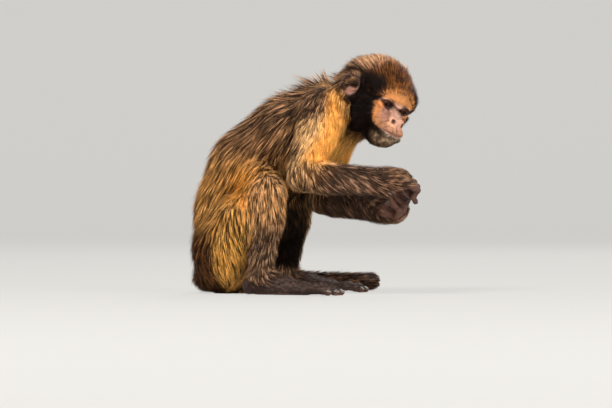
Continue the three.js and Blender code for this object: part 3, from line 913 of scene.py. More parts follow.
def marking(points, normals, shares):
    """Two colours for each place, by smooth masks over the body, of a dark lock and of a light lock, and
    the share of light ones."""
    x, y, z = points.T
    parts = dict(zip(REGIONS, region_shares(shares).T))
    local = in_head(points)
    dark = np.tile(colour(BLACK), (len(points), 1))
    light = np.tile(colour("7c4520"), (len(points), 1))
    share = np.full(len(points), 0.4)

    def lay(mask, dark_to, light_to, share_to):
        """Moves both colours and the share of light locks towards new ones, as far as the mask says."""
        nonlocal dark, light
        m = np.clip(mask, 0, 1)[:, None]
        dark = mix(dark, colour(dark_to), m)
        light = mix(light, colour(light_to), m)
        lay_share(mask, share_to)

    def lay_share(mask, share_to):
        """Moves the share alone."""
        nonlocal share
        share = mix(share, share_to, np.clip(mask, 0, 1))

    # Flanks, rump and thighs are a golden brown brindle, darker up the back and low behind.
    thigh = parts["thigh"]
    body = parts["trunk"] + thigh
    lay(body, BLACK, "ffba68", 0.48)
    lay(body * ramp(130, 180, z), BLACK, "c08c60", 0.26)
    lay(body * bell((x + 50) / 18, (z - 125) / 24), BLACK, "ffa842", 0.56)
    lay(thigh * ramp(110, 60, z), BLACK, "ffbc5c", 0.66)
    lay(body * ramp(100, 60, z) * ramp(-76, -94, x), BLACK, "8e5c32", 0.12)
    lay(thigh * ramp(-48, -30, x), BLACK, "f8b878", 0.6)
    lay(parts["shin"], "1c130f", "b68c6a", 0.44)
    # Painted shade in the crease between hip and thigh: fewer light locks there, so it reads darker.
    hip_crease_shade = bell((x + 60 + 0.55 * (z - 80)) / 12) * ramp(50, 66, z) * ramp(108, 94, z)
    lay_share(body * hip_crease_shade * ramp(28, 40, np.abs(y)), 0.2)
    lay(bell(gap((points - vec(37, -3, 243)) / vec(9, 12, 10))), BLACK, DARK, 0.1)
    # The belly and the insides of the legs are made black, a painted shade where the trunk and the drawn-up
    # legs shade each other.
    lay(ramp(30, 18, np.abs(y)) * ramp(-70, -50, x) * ramp(170, 140, z), BLACK, DARK, 0.08)
    for n, s in SIDES.items():
        inner = s * (KNEE[n][1] + 4) - s * y
        near = ramp(66, 56, gap(points - mix(KNEE[n], ANKLE[n], 0.3)))
        lay(ramp(4, 10, inner) * near * (thigh + parts["shin"]), BLACK, DARK, 0.08)
    # The shoulder is buff and the throat and chest are golden, under a dark nape with tan streaks.
    fore = 0.966 * x - 0.259 * np.abs(y)
    arm, chest = parts["upper_arm"], parts["trunk"] + parts["neck"]
    lay(arm, "38241a", "ecba7c", 0.7)
    lay(chest * ramp(-12, 8, fore) * ramp(150, 170, z), "38241a", "ecba7c", 0.74)
    lay(arm * ramp(166, 138, z), BLACK, "b88c5c", 0.46)
    lay(arm * ramp(8, -6, fore) * ramp(150, 165, z), BLACK, "d2a070", 0.36)
    lay((chest + arm) * ramp(194, 212, z - 0.2 * (fore - 20)), BLACK, "b48660", 0.2)
    slant = fore - 0.28 * np.maximum(z - 193, 0) + 0.6 * np.maximum(190 - z, 0)
    lowest = mix(ramp(120, 150, z), ramp(146, 160, z), arm)
    gold = ramp(17, 36, slant) * lowest * ramp(240, 228, z)
    lay((chest + arm) * gold, "cc7e2c", "fab256", 0.93)
    # The throat and chest get a still brighter gold: painted light that lifts the shade the head casts on
    # them.
    lay(chest * gold, "e09a40", "ffc46a", 0.97)
    # Forearms, hands, feet and tail are black with a few paler locks, fewest on the forearms' edges and inner
    # sides.
    lay(parts["forearm"], BLACK, "b4886a", 0.3)
    # On the forearms this is painted sheen and shade: light locks thin out where the skin faces up, down or
    # in towards the body, leaving a paler band along the outer side's middle and painted shade beneath and
    # inside.
    edges = np.maximum(ramp(0.3, 0.8, normals[:, 2]), ramp(-0.4, -0.8, normals[:, 2]))
    shaded_inner_side = ramp(0.2, 0.6, -normals[:, 1] * np.sign(y))
    lay_share(parts["forearm"] * np.maximum(edges, shaded_inner_side), 0.1)
    lay(parts["hand"], BLACK, "a0785a", 0.38)
    lay(parts["foot"], BLACK, "5c4a40", 0.35)
    lay(parts["tail"], BLACK, "6a4830", 0.35)
    # The head: a brown crown with pale tips as a painted sheen, black temples, whiskers and beard, an orange
    # brow.
    hx, hy, hz = local.T
    head = parts["head"]
    # The head's light locks are pale, a painted sheen that stays on the crown where the layers below don't
    # cover it.
    lay(head, "26140a", "d29e72", 0.6)
    lay(head * ramp(-36, -20, hx), "1e0e05", "8c5220", 0.36)
    lay(head * ramp(15, 23, np.abs(hy)) * ramp(-54, -42, hx) * ramp(24, 12, hz), "0a0503", "301a10", 0.12)
    lay(head * ramp(4, -8, hz) * ramp(-66, -54, hx), "0a0503", "301a10", 0.12)
    lay(head * ramp(-56, -66, hx), BLACK, "c49a74", 0.42)
    lay(head * ramp(-29, -36, hz) * ramp(-8, 1, hx), "564232", "b89878", 0.42)
    lay(ear_shares(local)[0] * ramp(-4, 4, hz), "2c180c", "b88a64", 0.45)
    lay(head * ramp(1.25, 1.0, from_nose(local)) * ramp(2, 8, hz), "6a3a18", "c88850", 0.55)
    return dark, light, share


MOUTH = -29.3  # the height of the line between the lips, in the head's frame


def skin_colour(points, normals, shares):
    """Dark skin under the coat, and on the bare face, ears, palms and soles its own tones."""
    local = in_head(points)
    x, y, z = local.T
    tone = colour(SKIN_PINK)

    def dab(mask, code):
        """Moves the tone towards a colour, as far as the mask says."""
        nonlocal tone
        tone = mix(tone, colour(code), np.clip(mask, 0, 1)[:, None])

    def around(cx, cy, cz, rx, ry, rz):
        """1 at a place and at its mirror image, and less away from them."""
        return bell((x - cx) / rx, (np.abs(y) - cy) / ry, (z - cz) / rz)

    dab(0.8 * around(8, 0, -6, 14, 6, 12), "9c7c6c")
    dab(0.8 * around(-4, 15, -10, 9, 8, 5), "947264")
    dab(ramp(1, 6, z) * 0.95, "b4763e")
    dab(ramp(9, 15, z), "704626")
    dab(ramp(11, 21, np.abs(y)) * ramp(4, -4, z) * 0.9, "ba7236")
    dab(ramp(21, 25, np.abs(y)), "6a3e20")
    dab(0.75 * around(10, 8, -24, 14, 11, 6), "9c6c46")
    dab(ramp(-29.5, -32, z) * 0.9, "5e4c3e")
    dab(ramp(-40, -46, z), BLACK)
    # Dark rims, painted shade from the brow on the upper lids and in the inner corners of the eyes, and
    # painted shade in the nostrils' hollows.
    for s in SIDES.values():
        outside, up = lid_place(local, s)
        near = ramp(16, 12, gap(from_eye(local, s)))
        dab(near * ramp(0.6, 0.25, outside) * 0.95, "1c0e09")
        # Painted shade: the brow's shadow on the upper lids, and the shade in the inner corners beside the
        # nose.
        dab(near * ramp(1.1, 0.4, outside) * ramp(-0.05, 0.15, up) * 0.85, "2e1a14")
        dab(0.92 * bell((x - 1) / 7, (y - 7.6 * s) / 3.8, (z + 0.5) / 4.6), "22120c")
        # Painted shade inside the nostrils' hollows.
        hole = bell(((x - 15) / 3.4) ** 2, ((y - 6.6 * s) / 2.3) ** 2, ((z + 16.4) / 2.6) ** 2)
        dab(0.97 * hole, "160a07")
    # Painted shade along the crease between the lips, with the pale pink lips round it.
    mouth = bell((z - MOUTH) / 1.0) * ramp(7, 10, x)
    dab(0.8 * mouth, "4a2a22")
    dab(0.4 * bell((z - MOUTH) / 2.6) * ramp(7, 10, x) * (1 - mouth), "c09080")
    tone *= (1 + 0.10 * waves(points, 5, 3) + 0.06 * waves(points, 2, 4))[:, None]

    dark, light, share = marking(points, normals, shares)
    base = mix(dark, light, share[:, None] * 0.6) * 0.7
    base = mix(base, tone, face_share(local)[:, None])
    palm = palm_share(points, shares)
    fingers = np.zeros(len(points))
    for n in SIDES:
        beyond = ramp(PALM - 4, PALM + 6, (points - WRIST[n]) @ hand_axes(n)[0])
        fingers = np.maximum(fingers, bone_share(shares, f"hand_{n}") * beyond)
    bare_hand = mix(mix(colour(PALM_PINK), colour(SKIN_DARK), 0.66), colour("422c24"), fingers[:, None])
    base = mix(base, bare_hand * (1 + 0.2 * waves(points, 4, 5))[:, None], palm[:, None])
    backs = share_of(region_shares(shares), "hand", "foot") * (1 - palm)
    base = mix(base, colour(SKIN_DARK), 0.8 * backs[:, None])
    ear, cup = ear_shares(local)
    base = mix(base, colour(SKIN_DARK), ear[:, None])
    return mix(base, colour("7e5646"), cup[:, None])


# ---- materials


class Nodes:
    """A material's nodes, made and linked in short calls."""

    def __init__(self, name):
        self.material = bpy.data.materials.new(name)
        self.material.use_nodes = True
        self.tree = self.material.node_tree
        self.shader = self.tree.nodes["Principled BSDF"]

    def give(self, node, inputs):
        """Sets inputs, or links them where the value is another node's result."""
        for key, value in inputs.items():
            if isinstance(value, bpy.types.NodeSocket):
                self.tree.links.new(value, node.inputs[key])
            else:
                node.inputs[key].default_value = value

    def add(self, kind, inputs, result=0, **settings):
        """A node with its inputs and settings, as the socket of its result."""
        node = self.tree.nodes.new(kind)
        for key, value in settings.items():
            setattr(node, key, value)
        self.give(node, inputs)
        return node.outputs[result]

    def pattern(self, kind, result, inputs, **settings):
        """A pattern on the piece's own coordinates."""
        place = self.add("ShaderNodeTexCoord", {}, "Object")
        return self.add(kind, {"Vector": place, **inputs}, result, **settings)

    def noise(self, scale, detail=4.0, roughness=0.6):
        """Fractal noise from 0 to 1, finer as the scale grows."""
        inputs = {"Scale": scale, "Detail": detail, "Roughness": roughness}
        return self.pattern("ShaderNodeTexNoise", "Fac", inputs)


def painted(name, mottle, grain=None, bump=None, cells=None, **shine):
    """A finish in the markings' own colour, times a grey that noise moves. The mottle is the noise's scale,
    and the grey's low and high. The relief is a grain of finer noise, with the edges of small cells added
    where it has them, and the bump is its strength and its depth in metres."""
    n = Nodes(name)
    scale, low, high = mottle
    inputs = {"Value": n.noise(scale), "From Min": 0.3, "From Max": 0.7, "To Min": low, "To Max": high}
    grey = n.add("ShaderNodeMapRange", inputs, "Result")
    inputs = {0: 1.0, 6: n.add("ShaderNodeVertexColor", {}, "Color", layer_name="marking"), 7: grey}
    mottled = n.add("ShaderNodeMix", inputs, 2, data_type="RGBA", blend_type="MULTIPLY")
    n.give(n.shader, {key.replace("_", " "): value for key, value in shine.items()})
    n.give(n.shader, {"Base Color": mottled})
    if grain:
        relief = n.noise(*grain)
        if cells:
            inputs = {"Scale": cells}
            edges = n.pattern("ShaderNodeTexVoronoi", "Distance", inputs, feature="DISTANCE_TO_EDGE")
            relief = n.add("ShaderNodeMath", {0: relief, 1: edges}, operation="ADD")
        inputs = {"Height": relief, "Strength": bump[0], "Distance": bump[1]}
        n.give(n.shader, {"Normal": n.add("ShaderNodeBump", inputs, "Normal")})
    return n.material


def floor_material():
    """A pale floor. The camera sees mostly its even colour, with a share of the light and shadow on it."""
    n = Nodes("floor")
    n.give(n.shader, {"Roughness": 0.9, "Base Color": (*colour("b4b1ac"), 1)})
    glow = n.add("ShaderNodeEmission", {"Color": (*colour("dedcd8"), 1), "Strength": 1.0})
    camera_ray = n.add("ShaderNodeLightPath", {}, "Is Camera Ray")
    seen = n.add("ShaderNodeMath", {0: camera_ray, 1: 0.8}, operation="MULTIPLY")
    mixed = n.add("ShaderNodeMixShader", {0: seen, 1: n.shader.outputs[0], 2: glow})
    n.give(n.tree.nodes["Material Output"], {"Surface": mixed})
    return n.material


HAIR = painted("hair", (900.0, 0.72, 1.25), (1600.0,), (0.25, 0.0004), Roughness=0.5, Specular_IOR_Level=0.09)
SKIN = painted(
    "skin", (700.0, 0.78, 1.16), (1400.0, 5.0, 0.65), (0.35, 0.0005), 1100.0,
    Roughness=0.62, Specular_IOR_Level=0.18, Subsurface_Weight=0.08, Subsurface_Scale=0.003,
)
EYES = painted(
    "eye", (1500.0, 0.85, 1.15), Roughness=0.3, Specular_IOR_Level=0.04, Coat_Weight=0.06, Coat_Roughness=0.03
)
NAIL = painted("nail", (600.0, 0.8, 1.15), (1200.0,), (0.15, 0.0003), Roughness=0.35, Specular_IOR_Level=0.5)
FLOOR = floor_material()

# ---- the skin

grid = make_grid()
THINNED = 0.37  # the share of triangles kept where the coat hides the skin
PROBE, FARTHEST = 0.15, 0.8  # how far settle looks beside a place, and moves it at most


def height(points):
    """How far places are over the skin, from the grid."""
    return look_up(grid, points)


def settle(points, rounds=3):
    """Moves points onto the skin: each round goes back along the outward direction by the distance."""
    for _ in range(rounds):
        d = field(points)
        way = unit(np.stack([field(points + PROBE * axis) - d for axis in np.eye(3)], axis=1))
        points = points - way * np.clip(d, -FARTHEST, FARTHEST)[:, None]
        points[:, 2] = np.maximum(points[:, 2], GROUND)
    return points


def on_face(points):
    """Whether places are in a box round the face, in the head's frame."""
    x, y, z = in_head(points).T
    return (x > -24) & (np.abs(y) < 30) & (np.abs(z) < 48)


def fine_places(points):
    """Where the skin keeps its small faces: face, ears, hands and feet."""
    x, y, z = in_head(points).T
    keep = on_face(points) | (np.abs(y) > 33) & (np.abs(x + 42) < 18) & (np.abs(z) < 20)
    for n in SIDES:
        at = points - WRIST[n]
        keep |= (gap(at) < 62) & (at @ hand_axes(n)[0] > -6)
        at = points - ANKLE[n]
        near_foot = (points[:, 2] < 34) & (gap(at) < 115) & (np.abs(at[:, 1]) < 24)
        keep |= near_foot & (at @ foot_axes(n)[0] > -20)
    return keep


def thin_mesh(skin, coarse):
    """Merges small faces into fewer large ones among the coarse points."""
    group = skin.vertex_groups.new(name="coarse")
    group.add(np.flatnonzero(coarse).tolist(), 1.0, "REPLACE")
    thin = skin.modifiers.new("thin", "DECIMATE")
    thin.ratio = THINNED
    thin.vertex_group = "coarse"
    depsgraph = bpy.context.evaluated_depsgraph_get()
    done = bpy.data.meshes.new_from_object(skin.evaluated_get(depsgraph))
    old = skin.data
    skin.modifiers.clear()
    skin.data = done
    done.name = skin.name
    bpy.data.meshes.remove(old)
    skin.vertex_groups.clear()


def refine_face(skin):
    """Splits every edge of the face in two."""
    bm = bmesh.new()
    bm.from_mesh(skin.data)
    face = on_face(points_of(skin.data))
    edges = [e for e in bm.edges if face[e.verts[0].index] and face[e.verts[1].index]]
    bmesh.ops.subdivide_edges(bm, edges=edges, cuts=1, use_grid_fill=True)
    bmesh.ops.triangulate(bm, faces=bm.faces)
    bm.to_mesh(skin.data)
    bm.free()


points, faces = net(grid)
skin = new_mesh("skin", points, faces, SKIN)
thin_mesh(skin, ~fine_places(points))
refine_face(skin)
place_points(skin.data, settle(points_of(skin.data)))
skin.data.polygons.foreach_set("use_smooth", np.ones(len(skin.data.polygons), bool))
skin.data.update()
skin_points, skin_triangles = points_of(skin.data), triangles_of(skin.data)
skin_shares = bone_shares(skin_points)
paint_points(skin.data, skin_colour(skin_points, outward(height, skin_points, PITCH), skin_shares))
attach(skin, "root")
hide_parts(*[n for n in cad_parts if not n.startswith("eye")])

# ---- eyes and nails

AROUND, RINGS = 72, 64  # points round an eyeball, and steps from pole to pole
# The angles from the pole between which the colour changes, and the new colour, or None for the iris.
BANDS = [(0.21, 0.25, None), (0.5, 0.57, "120804"), (0.60, 0.75, "3a2014")]


def eyeball(n):
    """A ball whose pole looks out along the gaze. Rings from the pole take a pupil, an iris with rays, its
    dark edge and the brown white of the eye by their angle, and the clear front bulges a little."""
    axis = HEAD @ GAZE
    side = unit(np.cross(UP, axis))
    up = np.cross(axis, side)
    tilt = np.pi * (np.arange(RINGS + 1) / RINGS) ** 1.4
    turn = np.linspace(0, 2 * np.pi, AROUND, endpoint=False)
    tilt, turn = [a.ravel() for a in np.meshgrid(tilt[1:-1], turn, indexing="ij")]
    tilt, turn = np.append(tilt, [0, np.pi]), np.append(turn, [0, 0])
    radius = EYE_RADIUS * (1 + 0.05 * ramp(0.62, 0.0, tilt)) - 0.1
    round_it = np.cos(turn)[:, None] * side + np.sin(turn)[:, None] * up
    way = np.cos(tilt)[:, None] * axis + np.sin(tilt)[:, None] * round_it
    points = EYE[n] + radius[:, None] * way
    at = np.arange((RINGS - 1) * AROUND).reshape(RINGS - 1, AROUND)
    after = np.roll(at, -1, axis=1)
    a, b, c, d = at[:-1].ravel(), after[:-1].ravel(), after[1:].ravel(), at[1:].ravel()
    pole, back_pole = np.full(AROUND, len(points) - 2), np.full(AROUND, len(points) - 1)
    rings = [(a, d, c), (a, c, b), (pole, at[0], after[0]), (back_pole, after[-1], at[-1])]
    faces = np.concatenate([np.stack(ring, axis=1) for ring in rings])
    rays = 0.5 + 0.5 * np.sin(turn * 23 + 2 * np.sin(turn * 5)) * np.sin(turn * 9 + 1)
    iris = mix(colour("1c0c04"), colour("48220e"), (rays * 0.7 + 0.3 * ramp(0.2, 0.5, tilt))[:, None])
    tone = colour("040302")
    for start, end, code in BANDS:
        tone = mix(tone, iris if code is None else colour(code), ramp(start, end, tilt)[:, None])
    piece = new_mesh(f"eyeball_{n}", points, faces, EYES, tone)
    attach(piece, "root")
    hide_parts(f"eye_{n}")


for n in SIDES:
    eyeball(n)

NAIL_ACROSS, NAIL_ALONG = 7, 6  # points across and along a nail
NAIL_POINTS = NAIL_ACROSS * NAIL_ALONG
NAIL_THICK = 0.55


def nails():
    """A curved plate over the end of each finger and toe: a grid bowed across and along, doubled below at
    its thickness and closed round its edge."""
    u, v = np.meshgrid(np.linspace(-1, 1, NAIL_ACROSS), np.linspace(0, 1, NAIL_ALONG), indexing="ij")
    at = np.arange(NAIL_POINTS).reshape(NAIL_ACROSS, NAIL_ALONG)
    quads = np.stack([at[:-1, :-1], at[1:, :-1], at[1:, 1:], at[:-1, 1:]], axis=-1).reshape(-1, 4)
    rim = np.concatenate([at[:-1, 0], at[-1, :-1], at[:0:-1, -1], at[0, :0:-1]])
    wall = np.stack([rim, np.roll(rim, -1), np.roll(rim, -1) + NAIL_POINTS, rim + NAIL_POINTS], axis=1)
    plate = np.concatenate([quads, quads[:, ::-1] + NAIL_POINTS, wall[:, ::-1]])
    points, faces = [], []
    hands_and_feet = [digits(n) for digits in (hand_digits, foot_digits) for n in SIDES]
    for joints, radius, pad in sum(hands_and_feet, []):
        way = unit(joints[-1] - joints[-2])
        back = -unit(pad - (pad @ way) * way)
        r = radius * 0.86 - 0.1
        angle = u * 1.05 * (1 - 0.25 * v**3)
        run = -2.4 + v * (radius * 1.3)
        aside = r * np.sin(angle) * (1 - 0.12 * v**2)
        drop = 0.5 * np.clip(v - 0.5, 0, 1) ** 2 * radius
        lift = r * np.cos(angle) + 0.35 * (1 - v) - drop + 0.2
        top = placer(joints[-1], way, np.cross(way, back), back)(*[a[..., None] for a in (run, aside, lift)])
        faces.append(2 * NAIL_POINTS * len(faces) + plate)
        points += [top.reshape(-1, 3), (top - NAIL_THICK * back).reshape(-1, 3)]
    tones = mix(colour("2a1e1a"), colour("5c4a40"), np.tile(v.ravel(), len(points))[:, None])
    piece = new_mesh("nails", np.concatenate(points), np.concatenate(faces), NAIL, tones)
    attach(piece, "root")


nails()

# ---- the coat

COUNT_SCALE = 1.0
SOWING_CELL = 6  # the side of a cell of the order in which the skin is sown
STEPS = 2  # of each lock
PATCH = 0.003  # the side of a lock's patch on the UV map
SECTION = np.array([[-0.5, -0.12], [0.5, -0.12], [0.0, 0.26]])  # a lock's three corners
SMALL_CLUMP, LARGE_CLUMP = 4.0, 7.5  # how wide the clumps of locks are
ROOT_DEPTH, ROOT_WIDTH = 0.8, 0.62  # how far a lock's root is under the skin, and its share of the width
LEAN = 0.55  # how far a lock's tip leans to its clump's middle, as a share of the way
LOWEST_HAIR = 0.4  # over the skin
HAIR_ON_FLOOR = 0.6  # over the floor
SET_BACK = 8  # how far a lock's step is moved at once, at most, towards its height
TUFT_RISE = 12  # a tuft's rise of this length turns a lock as much as the lie of the coat does
TOO_HIGH = 2.0  # a lock that ends this far over its height is left out
STANDING = 0.15  # but not one that stands more than this


def coat_density(places, shares):
    """Locks of the coat in a square millimetre: none on bare skin, more where they are short."""
    local = in_head(places)
    regions = region_shares(shares)
    bare = np.clip(np.maximum(face_share(local) + ear_shares(local)[1], palm_share(places, shares)), 0, 1)
    fringe = share_of(regions, "head") * fringe_share(local)
    more = 1 + 0.9 * fringe + 2 * tuft_share(places, TUFTS[1])
    return regions @ GROWTH_TABLE[:, 3] * more * (1 - bare) * (places[:, 2] > 2)


def down_density(places, _):
    """Hairs of the face's short down in a square millimetre: none in the eyes, nostrils and lips."""
    local = in_head(places)
    _, y, z = local.T
    open_skin = face_share(local)
    for s in SIDES.values():
        near = ramp(16, 12, gap(from_eye(local, s)))
        open_skin = open_skin * (1 - near * ramp(1.0, 0.6, lid_place(local, s)[0]))
        open_skin = open_skin * ramp(4.5, 7, gap(local - vec(15, 6.6 * s, -16.4)))
    bridge = bell(y / 6) * ramp(4, 0, z) * ramp(-24, -18, z)
    return 3.2 * open_skin * (1 - bell((z - MOUTH) / 1.6)) * (1 - 0.8 * bridge)


def sow(density):
    """Roots over the skin, evenly by the wanted density: the triangles are taken in the order of a coarse
    grid of cells, and one root falls at random in each equal share of their summed need."""
    corners = skin_points[skin_triangles]
    middle = corners.mean(axis=1)
    area = gap(np.cross(corners[:, 1] - corners[:, 0], corners[:, 2] - corners[:, 0])) / 2
    need = area * density(middle, skin_shares[skin_triangles].mean(axis=1)) * COUNT_SCALE
    cell = np.floor((middle - middle.min(axis=0)) / SOWING_CELL).astype(int)
    order = np.lexsort(cell.T)
    run = np.cumsum(need[order])
    total = int(run[-1])
    at = (np.arange(total) + rng.uniform(size=total)) * run[-1] / total
    triangle = order[np.searchsorted(run, at).clip(0, len(order) - 1)]
    a, b = rng.uniform(size=(2, total, 1))
    flip = (a + b > 1)[:, 0]
    a[flip], b[flip] = 1 - a[flip], 1 - b[flip]
    c = corners[triangle]
    return c[:, 0] + a * (c[:, 1] - c[:, 0]) + b * (c[:, 2] - c[:, 0])


def unwrap(points, chain):
    """A place on the UV map for each root: how far it is along the chain of bones, and its angle round it,
    both from 0 to 1."""
    start, along = BONE_FROM[chain], BONE_ALONG[chain]
    run = np.concatenate([[0], np.cumsum(gap(along))])
    offset = points[:, None, :] - start
    t = np.clip(np.sum(offset * along, axis=2) / np.sum(along * along, axis=1), -0.6, 1.6)
    inside = np.clip(t, 0, 1)
    best = np.argmin(gap(offset - inside[..., None] * along), axis=1)
    rows = np.arange(len(points))
    at_end = (best == 0) | (best == len(chain) - 1)
    s = run[best] + np.where(at_end, t[rows, best], inside[rows, best]) * (run[best + 1] - run[best])
    way = unit(along)[best]
    first = unit(np.cross(way, vec(0.3, 0.2, 1.0)))
    over, aside = [np.sum(offset[rows, best] * axis, axis=1) for axis in (np.cross(way, first), first)]
    angle = np.arctan2(over, aside) / (2 * np.pi) + 0.5
    s = (s - s.min()) / max(np.ptp(s), 1e-6)
    return np.stack([0.01 + 0.97 * s, 0.01 + 0.97 * angle], axis=1)


def lock_mesh(grown, root_tone, tip_tone, uv):
    """Locks as closed three-sided spikes. A section of three corners runs along each path, narrowing to
    the tip by the square root of what is left, and the colour goes from root to tip."""
    path = grown["path"]
    locks = len(path)
    t = np.arange(STEPS) / STEPS
    narrow = np.sqrt(1 - t) * np.where(t == 0, ROOT_WIDTH, 1.0)
    size = (grown["width"][:, None] * narrow)[:, :, None, None]
    sideways = SECTION[:, 0][:, None] * grown["side"][:, :STEPS, None, :]
    lifted = SECTION[:, 1][:, None] * grown["lift"][:, :STEPS, None, :]
    body = path[:, :STEPS, None, :] + size * (sideways + lifted)
    points = np.concatenate([body.reshape(locks, STEPS * 3, 3), path[:, STEPS:, :]], axis=1)
    tip = STEPS * 3
    faces = [[0, 2, 1]]
    for ring in range(0, tip - 3, 3):
        for i in range(3):
            a, b = ring + i, ring + (i + 1) % 3
            faces += [[a, b, b + 3], [a, b + 3, a + 3]]
    faces += [[tip - 3 + i, tip - 3 + (i + 1) % 3, tip] for i in range(3)]
    faces = (np.array(faces) + (tip + 1) * np.arange(locks)[:, None, None]).reshape(-1, 3)
    along = np.append(np.repeat(t, 3), 1.0)
    tone = mix(root_tone[:, None, :], tip_tone[:, None, :], along[:, None] ** 1.2)
    round_it = np.append(np.tile([0, 0.5, 1], STEPS), 0.5)
    places = uv[:, None, :] + np.stack([along * PATCH, round_it * PATCH], axis=1)
    return points.reshape(-1, 3), faces, tone.reshape(-1, 3), places.reshape(-1, 2)


def coat_growth(roots, regions):
    """How far each lock stands over the skin, its length and its width."""
    count = len(roots)
    depth, length, width, _ = (regions @ GROWTH_TABLE).T
    local = in_head(roots)
    on_head = share_of(regions, "head")
    # Short and fine at the edge of the face and on the ears, longer in the temples, whiskers and ruff.
    edge = fringe_share(local) * on_head
    ear = ear_shares(local)[0]
    whisker = on_head * ramp(-4, -16, local[:, 2]) * ramp(-16, -28, local[:, 0])
    ruff = on_head * ramp(-46, -58, local[:, 0])
    temple = on_head * ramp(20, 27, np.abs(local[:, 1])) * ramp(-28, -38, local[:, 0]) * (1 - ear)
    mane, nape = [tuft_share(roots, tuft) for tuft in TUFTS[:2]]
    length *= 1 - 0.68 * edge
    length *= 1 + 0.3 * whisker + 0.3 * ruff + 0.4 * temple
    length *= 1 - 0.3 * ear
    length *= 1 + 0.1 * mane
    length *= 1 - 0.25 * nape
    width *= 1 - 0.45 * edge
    width *= 1 - 0.3 * ear
    width *= 1 + 0.8 * nape
    depth *= 1 - 0.82 * edge
    depth *= 1 + 0.15 * ruff + 0.4 * temple
    depth *= 1 - 0.5 * ear
    # The cape behind the mane is deeper, as are the top of the left wrist and the underside of the right.
    depth *= 1 + 0.5 * bell(gap((roots - vec(6, 0, 224)) / vec(17, 26, 16)))
    depth *= 1 + 0.6 * bell(gap(roots - WRIST["left"]) / 18)
    depth *= 1 + 0.9 * bell(gap(roots - WRIST["right"] - vec(0, 0, -13)) / 9)
    layer = mix(0.35, 1.0, np.sqrt(rng.uniform(size=count)))
    stray = rng.uniform(size=count) < 0.06
    depth *= np.where(stray, 1.12, layer)
    return depth, length * rng.uniform(0.75, 1.2, count), width * rng.uniform(0.7, 1.25, count)


def down_growth(roots, _):
    """The same for the down of the face."""
    return [rng.uniform(low, high, len(roots)) for low, high in ((0.5, 1.1), (2.2, 4.2), (0.2, 0.36))]


def clumps(roots, regions):
    """The middle of each root's clump, and a number from -1 to 1 for its tone."""
    fine = share_of(regions, "head", "forearm", "hand", "shin", "foot", "tail") > 0.5
    size = np.where(fine, SMALL_CLUMP, LARGE_CLUMP)[:, None]
    cell = np.floor((roots + wave_vectors(roots, 9, 80) * 2.2) / size).astype(int)
    key = cell @ (7919**2, 7919, 1) + ~fine * 10**9  # a number of its own for each cell of each size
    _, clump = np.unique(key, return_inverse=True)
    members = np.bincount(clump)
    middle = np.stack([np.bincount(clump, roots[:, i]) / members for i in range(3)], axis=1)[clump]
    return middle, np.random.default_rng(11).uniform(-1, 1, len(members))[clump]


def grow(roots, growth):
    """Each lock starts at its root along the lie of the coat and goes on over the skin in even steps,
    leaning to its clump's middle. At each step it is set back to its own height over the skin, which rises
    quickly and levels off. In the tufts it is set back less and turned up, so the locks there stand."""
    shares = share_here = bone_shares(roots)
    regions = region_shares(shares)
    depth, length, width = growth(roots, regions)
    normals = outward(height, roots, PITCH)
    near = [tuft_share(roots, tuft) for tuft in TUFTS]
    rise = sum(share[:, None] * way for share, (_, _, way) in zip(near, TUFTS))
    standing = np.clip(sum(near), 0, 1)
    middle, clump_tone = clumps(roots, regions)
    path, side, lift = [roots - ROOT_DEPTH * normals], [], []
    here, way = roots, normals
    for k in range(1, STEPS + 1):
        if k > 1:
            share_here = bone_shares(here)
        flow = unit(lie_of_coat(here, way, share_here) + rise / TUFT_RISE * (0.5 + 0.5 * k / STEPS))
        ahead = here + length[:, None] / STEPS * flow
        ahead = ahead + (middle - roots) * (LEAN * k / STEPS) / STEPS
        wanted = np.maximum(depth * (k / STEPS) ** 0.75, LOWEST_HAIR)
        for _ in range(2):
            way = outward(height, ahead, PITCH)
            off = np.clip(wanted - height(ahead), -SET_BACK, SET_BACK) * (1 - standing)
            ahead = ahead + way * off[:, None]
        ahead[:, 2] = np.maximum(ahead[:, 2], HAIR_ON_FLOOR)
        path.append(ahead)
        tangent = unit(ahead - path[-2])
        side.append(unit(np.cross(way, tangent)))
        lift.append(np.cross(tangent, side[-1]))
        here = ahead
    grown = dict(width=width, shares=shares, normals=normals, clump=clump_tone)
    for name, steps in (("path", path), ("side", side), ("lift", lift)):
        grown[name] = np.stack(steps, axis=1)
    kept = (height(path[-1]) < depth + TOO_HIGH) | (standing > STANDING)
    return {key: values[kept] for key, values in grown.items()}, kept


def lock_tones(roots, grown):
    """A dark or a light lock by the region's share of light ones at the lock's middle, swayed by its clump
    and by streaks: noise that is averaged along the lock, so that it changes only from one to the next."""
    count = len(roots)
    tip_from_root = grown["path"][:, -1] - roots
    regions = region_shares(grown["shares"])
    on_body = 1 - share_of(regions, "head")[:, None]
    dark, light, share = marking(roots + 0.5 * on_body * tip_from_root, grown["normals"], grown["shares"])
    middle, way = roots + 0.5 * tip_from_root, unit(tip_from_root)
    streak = sum(waves(middle + way * run, 5.8, 31) for run in (-18, -9, 0, 9, 18)) / 5
    on_trunk = share_of(regions, "trunk", "neck", "thigh")
    sway = share + 0.16 * waves(roots, 14, 21) + (0.12 + 0.12 * on_trunk) * grown["clump"]
    sway = sway + (0.8 + 2.2 * on_trunk) * streak
    is_light = ramp(-0.08, 0.08, sway - rng.uniform(0.25, 0.75, count))[:, None]
    tone = mix(dark, light, is_light)
    tone *= rng.uniform(0.7, 1.25, (count, 1)) * np.clip(1 + 1.1 * streak, 0.55, 1.45)[:, None]
    tip = mix(tone, light, 0.3 * rng.uniform(size=(count, 1)))
    return mix(tone, dark, 0.4), tip * 1.12


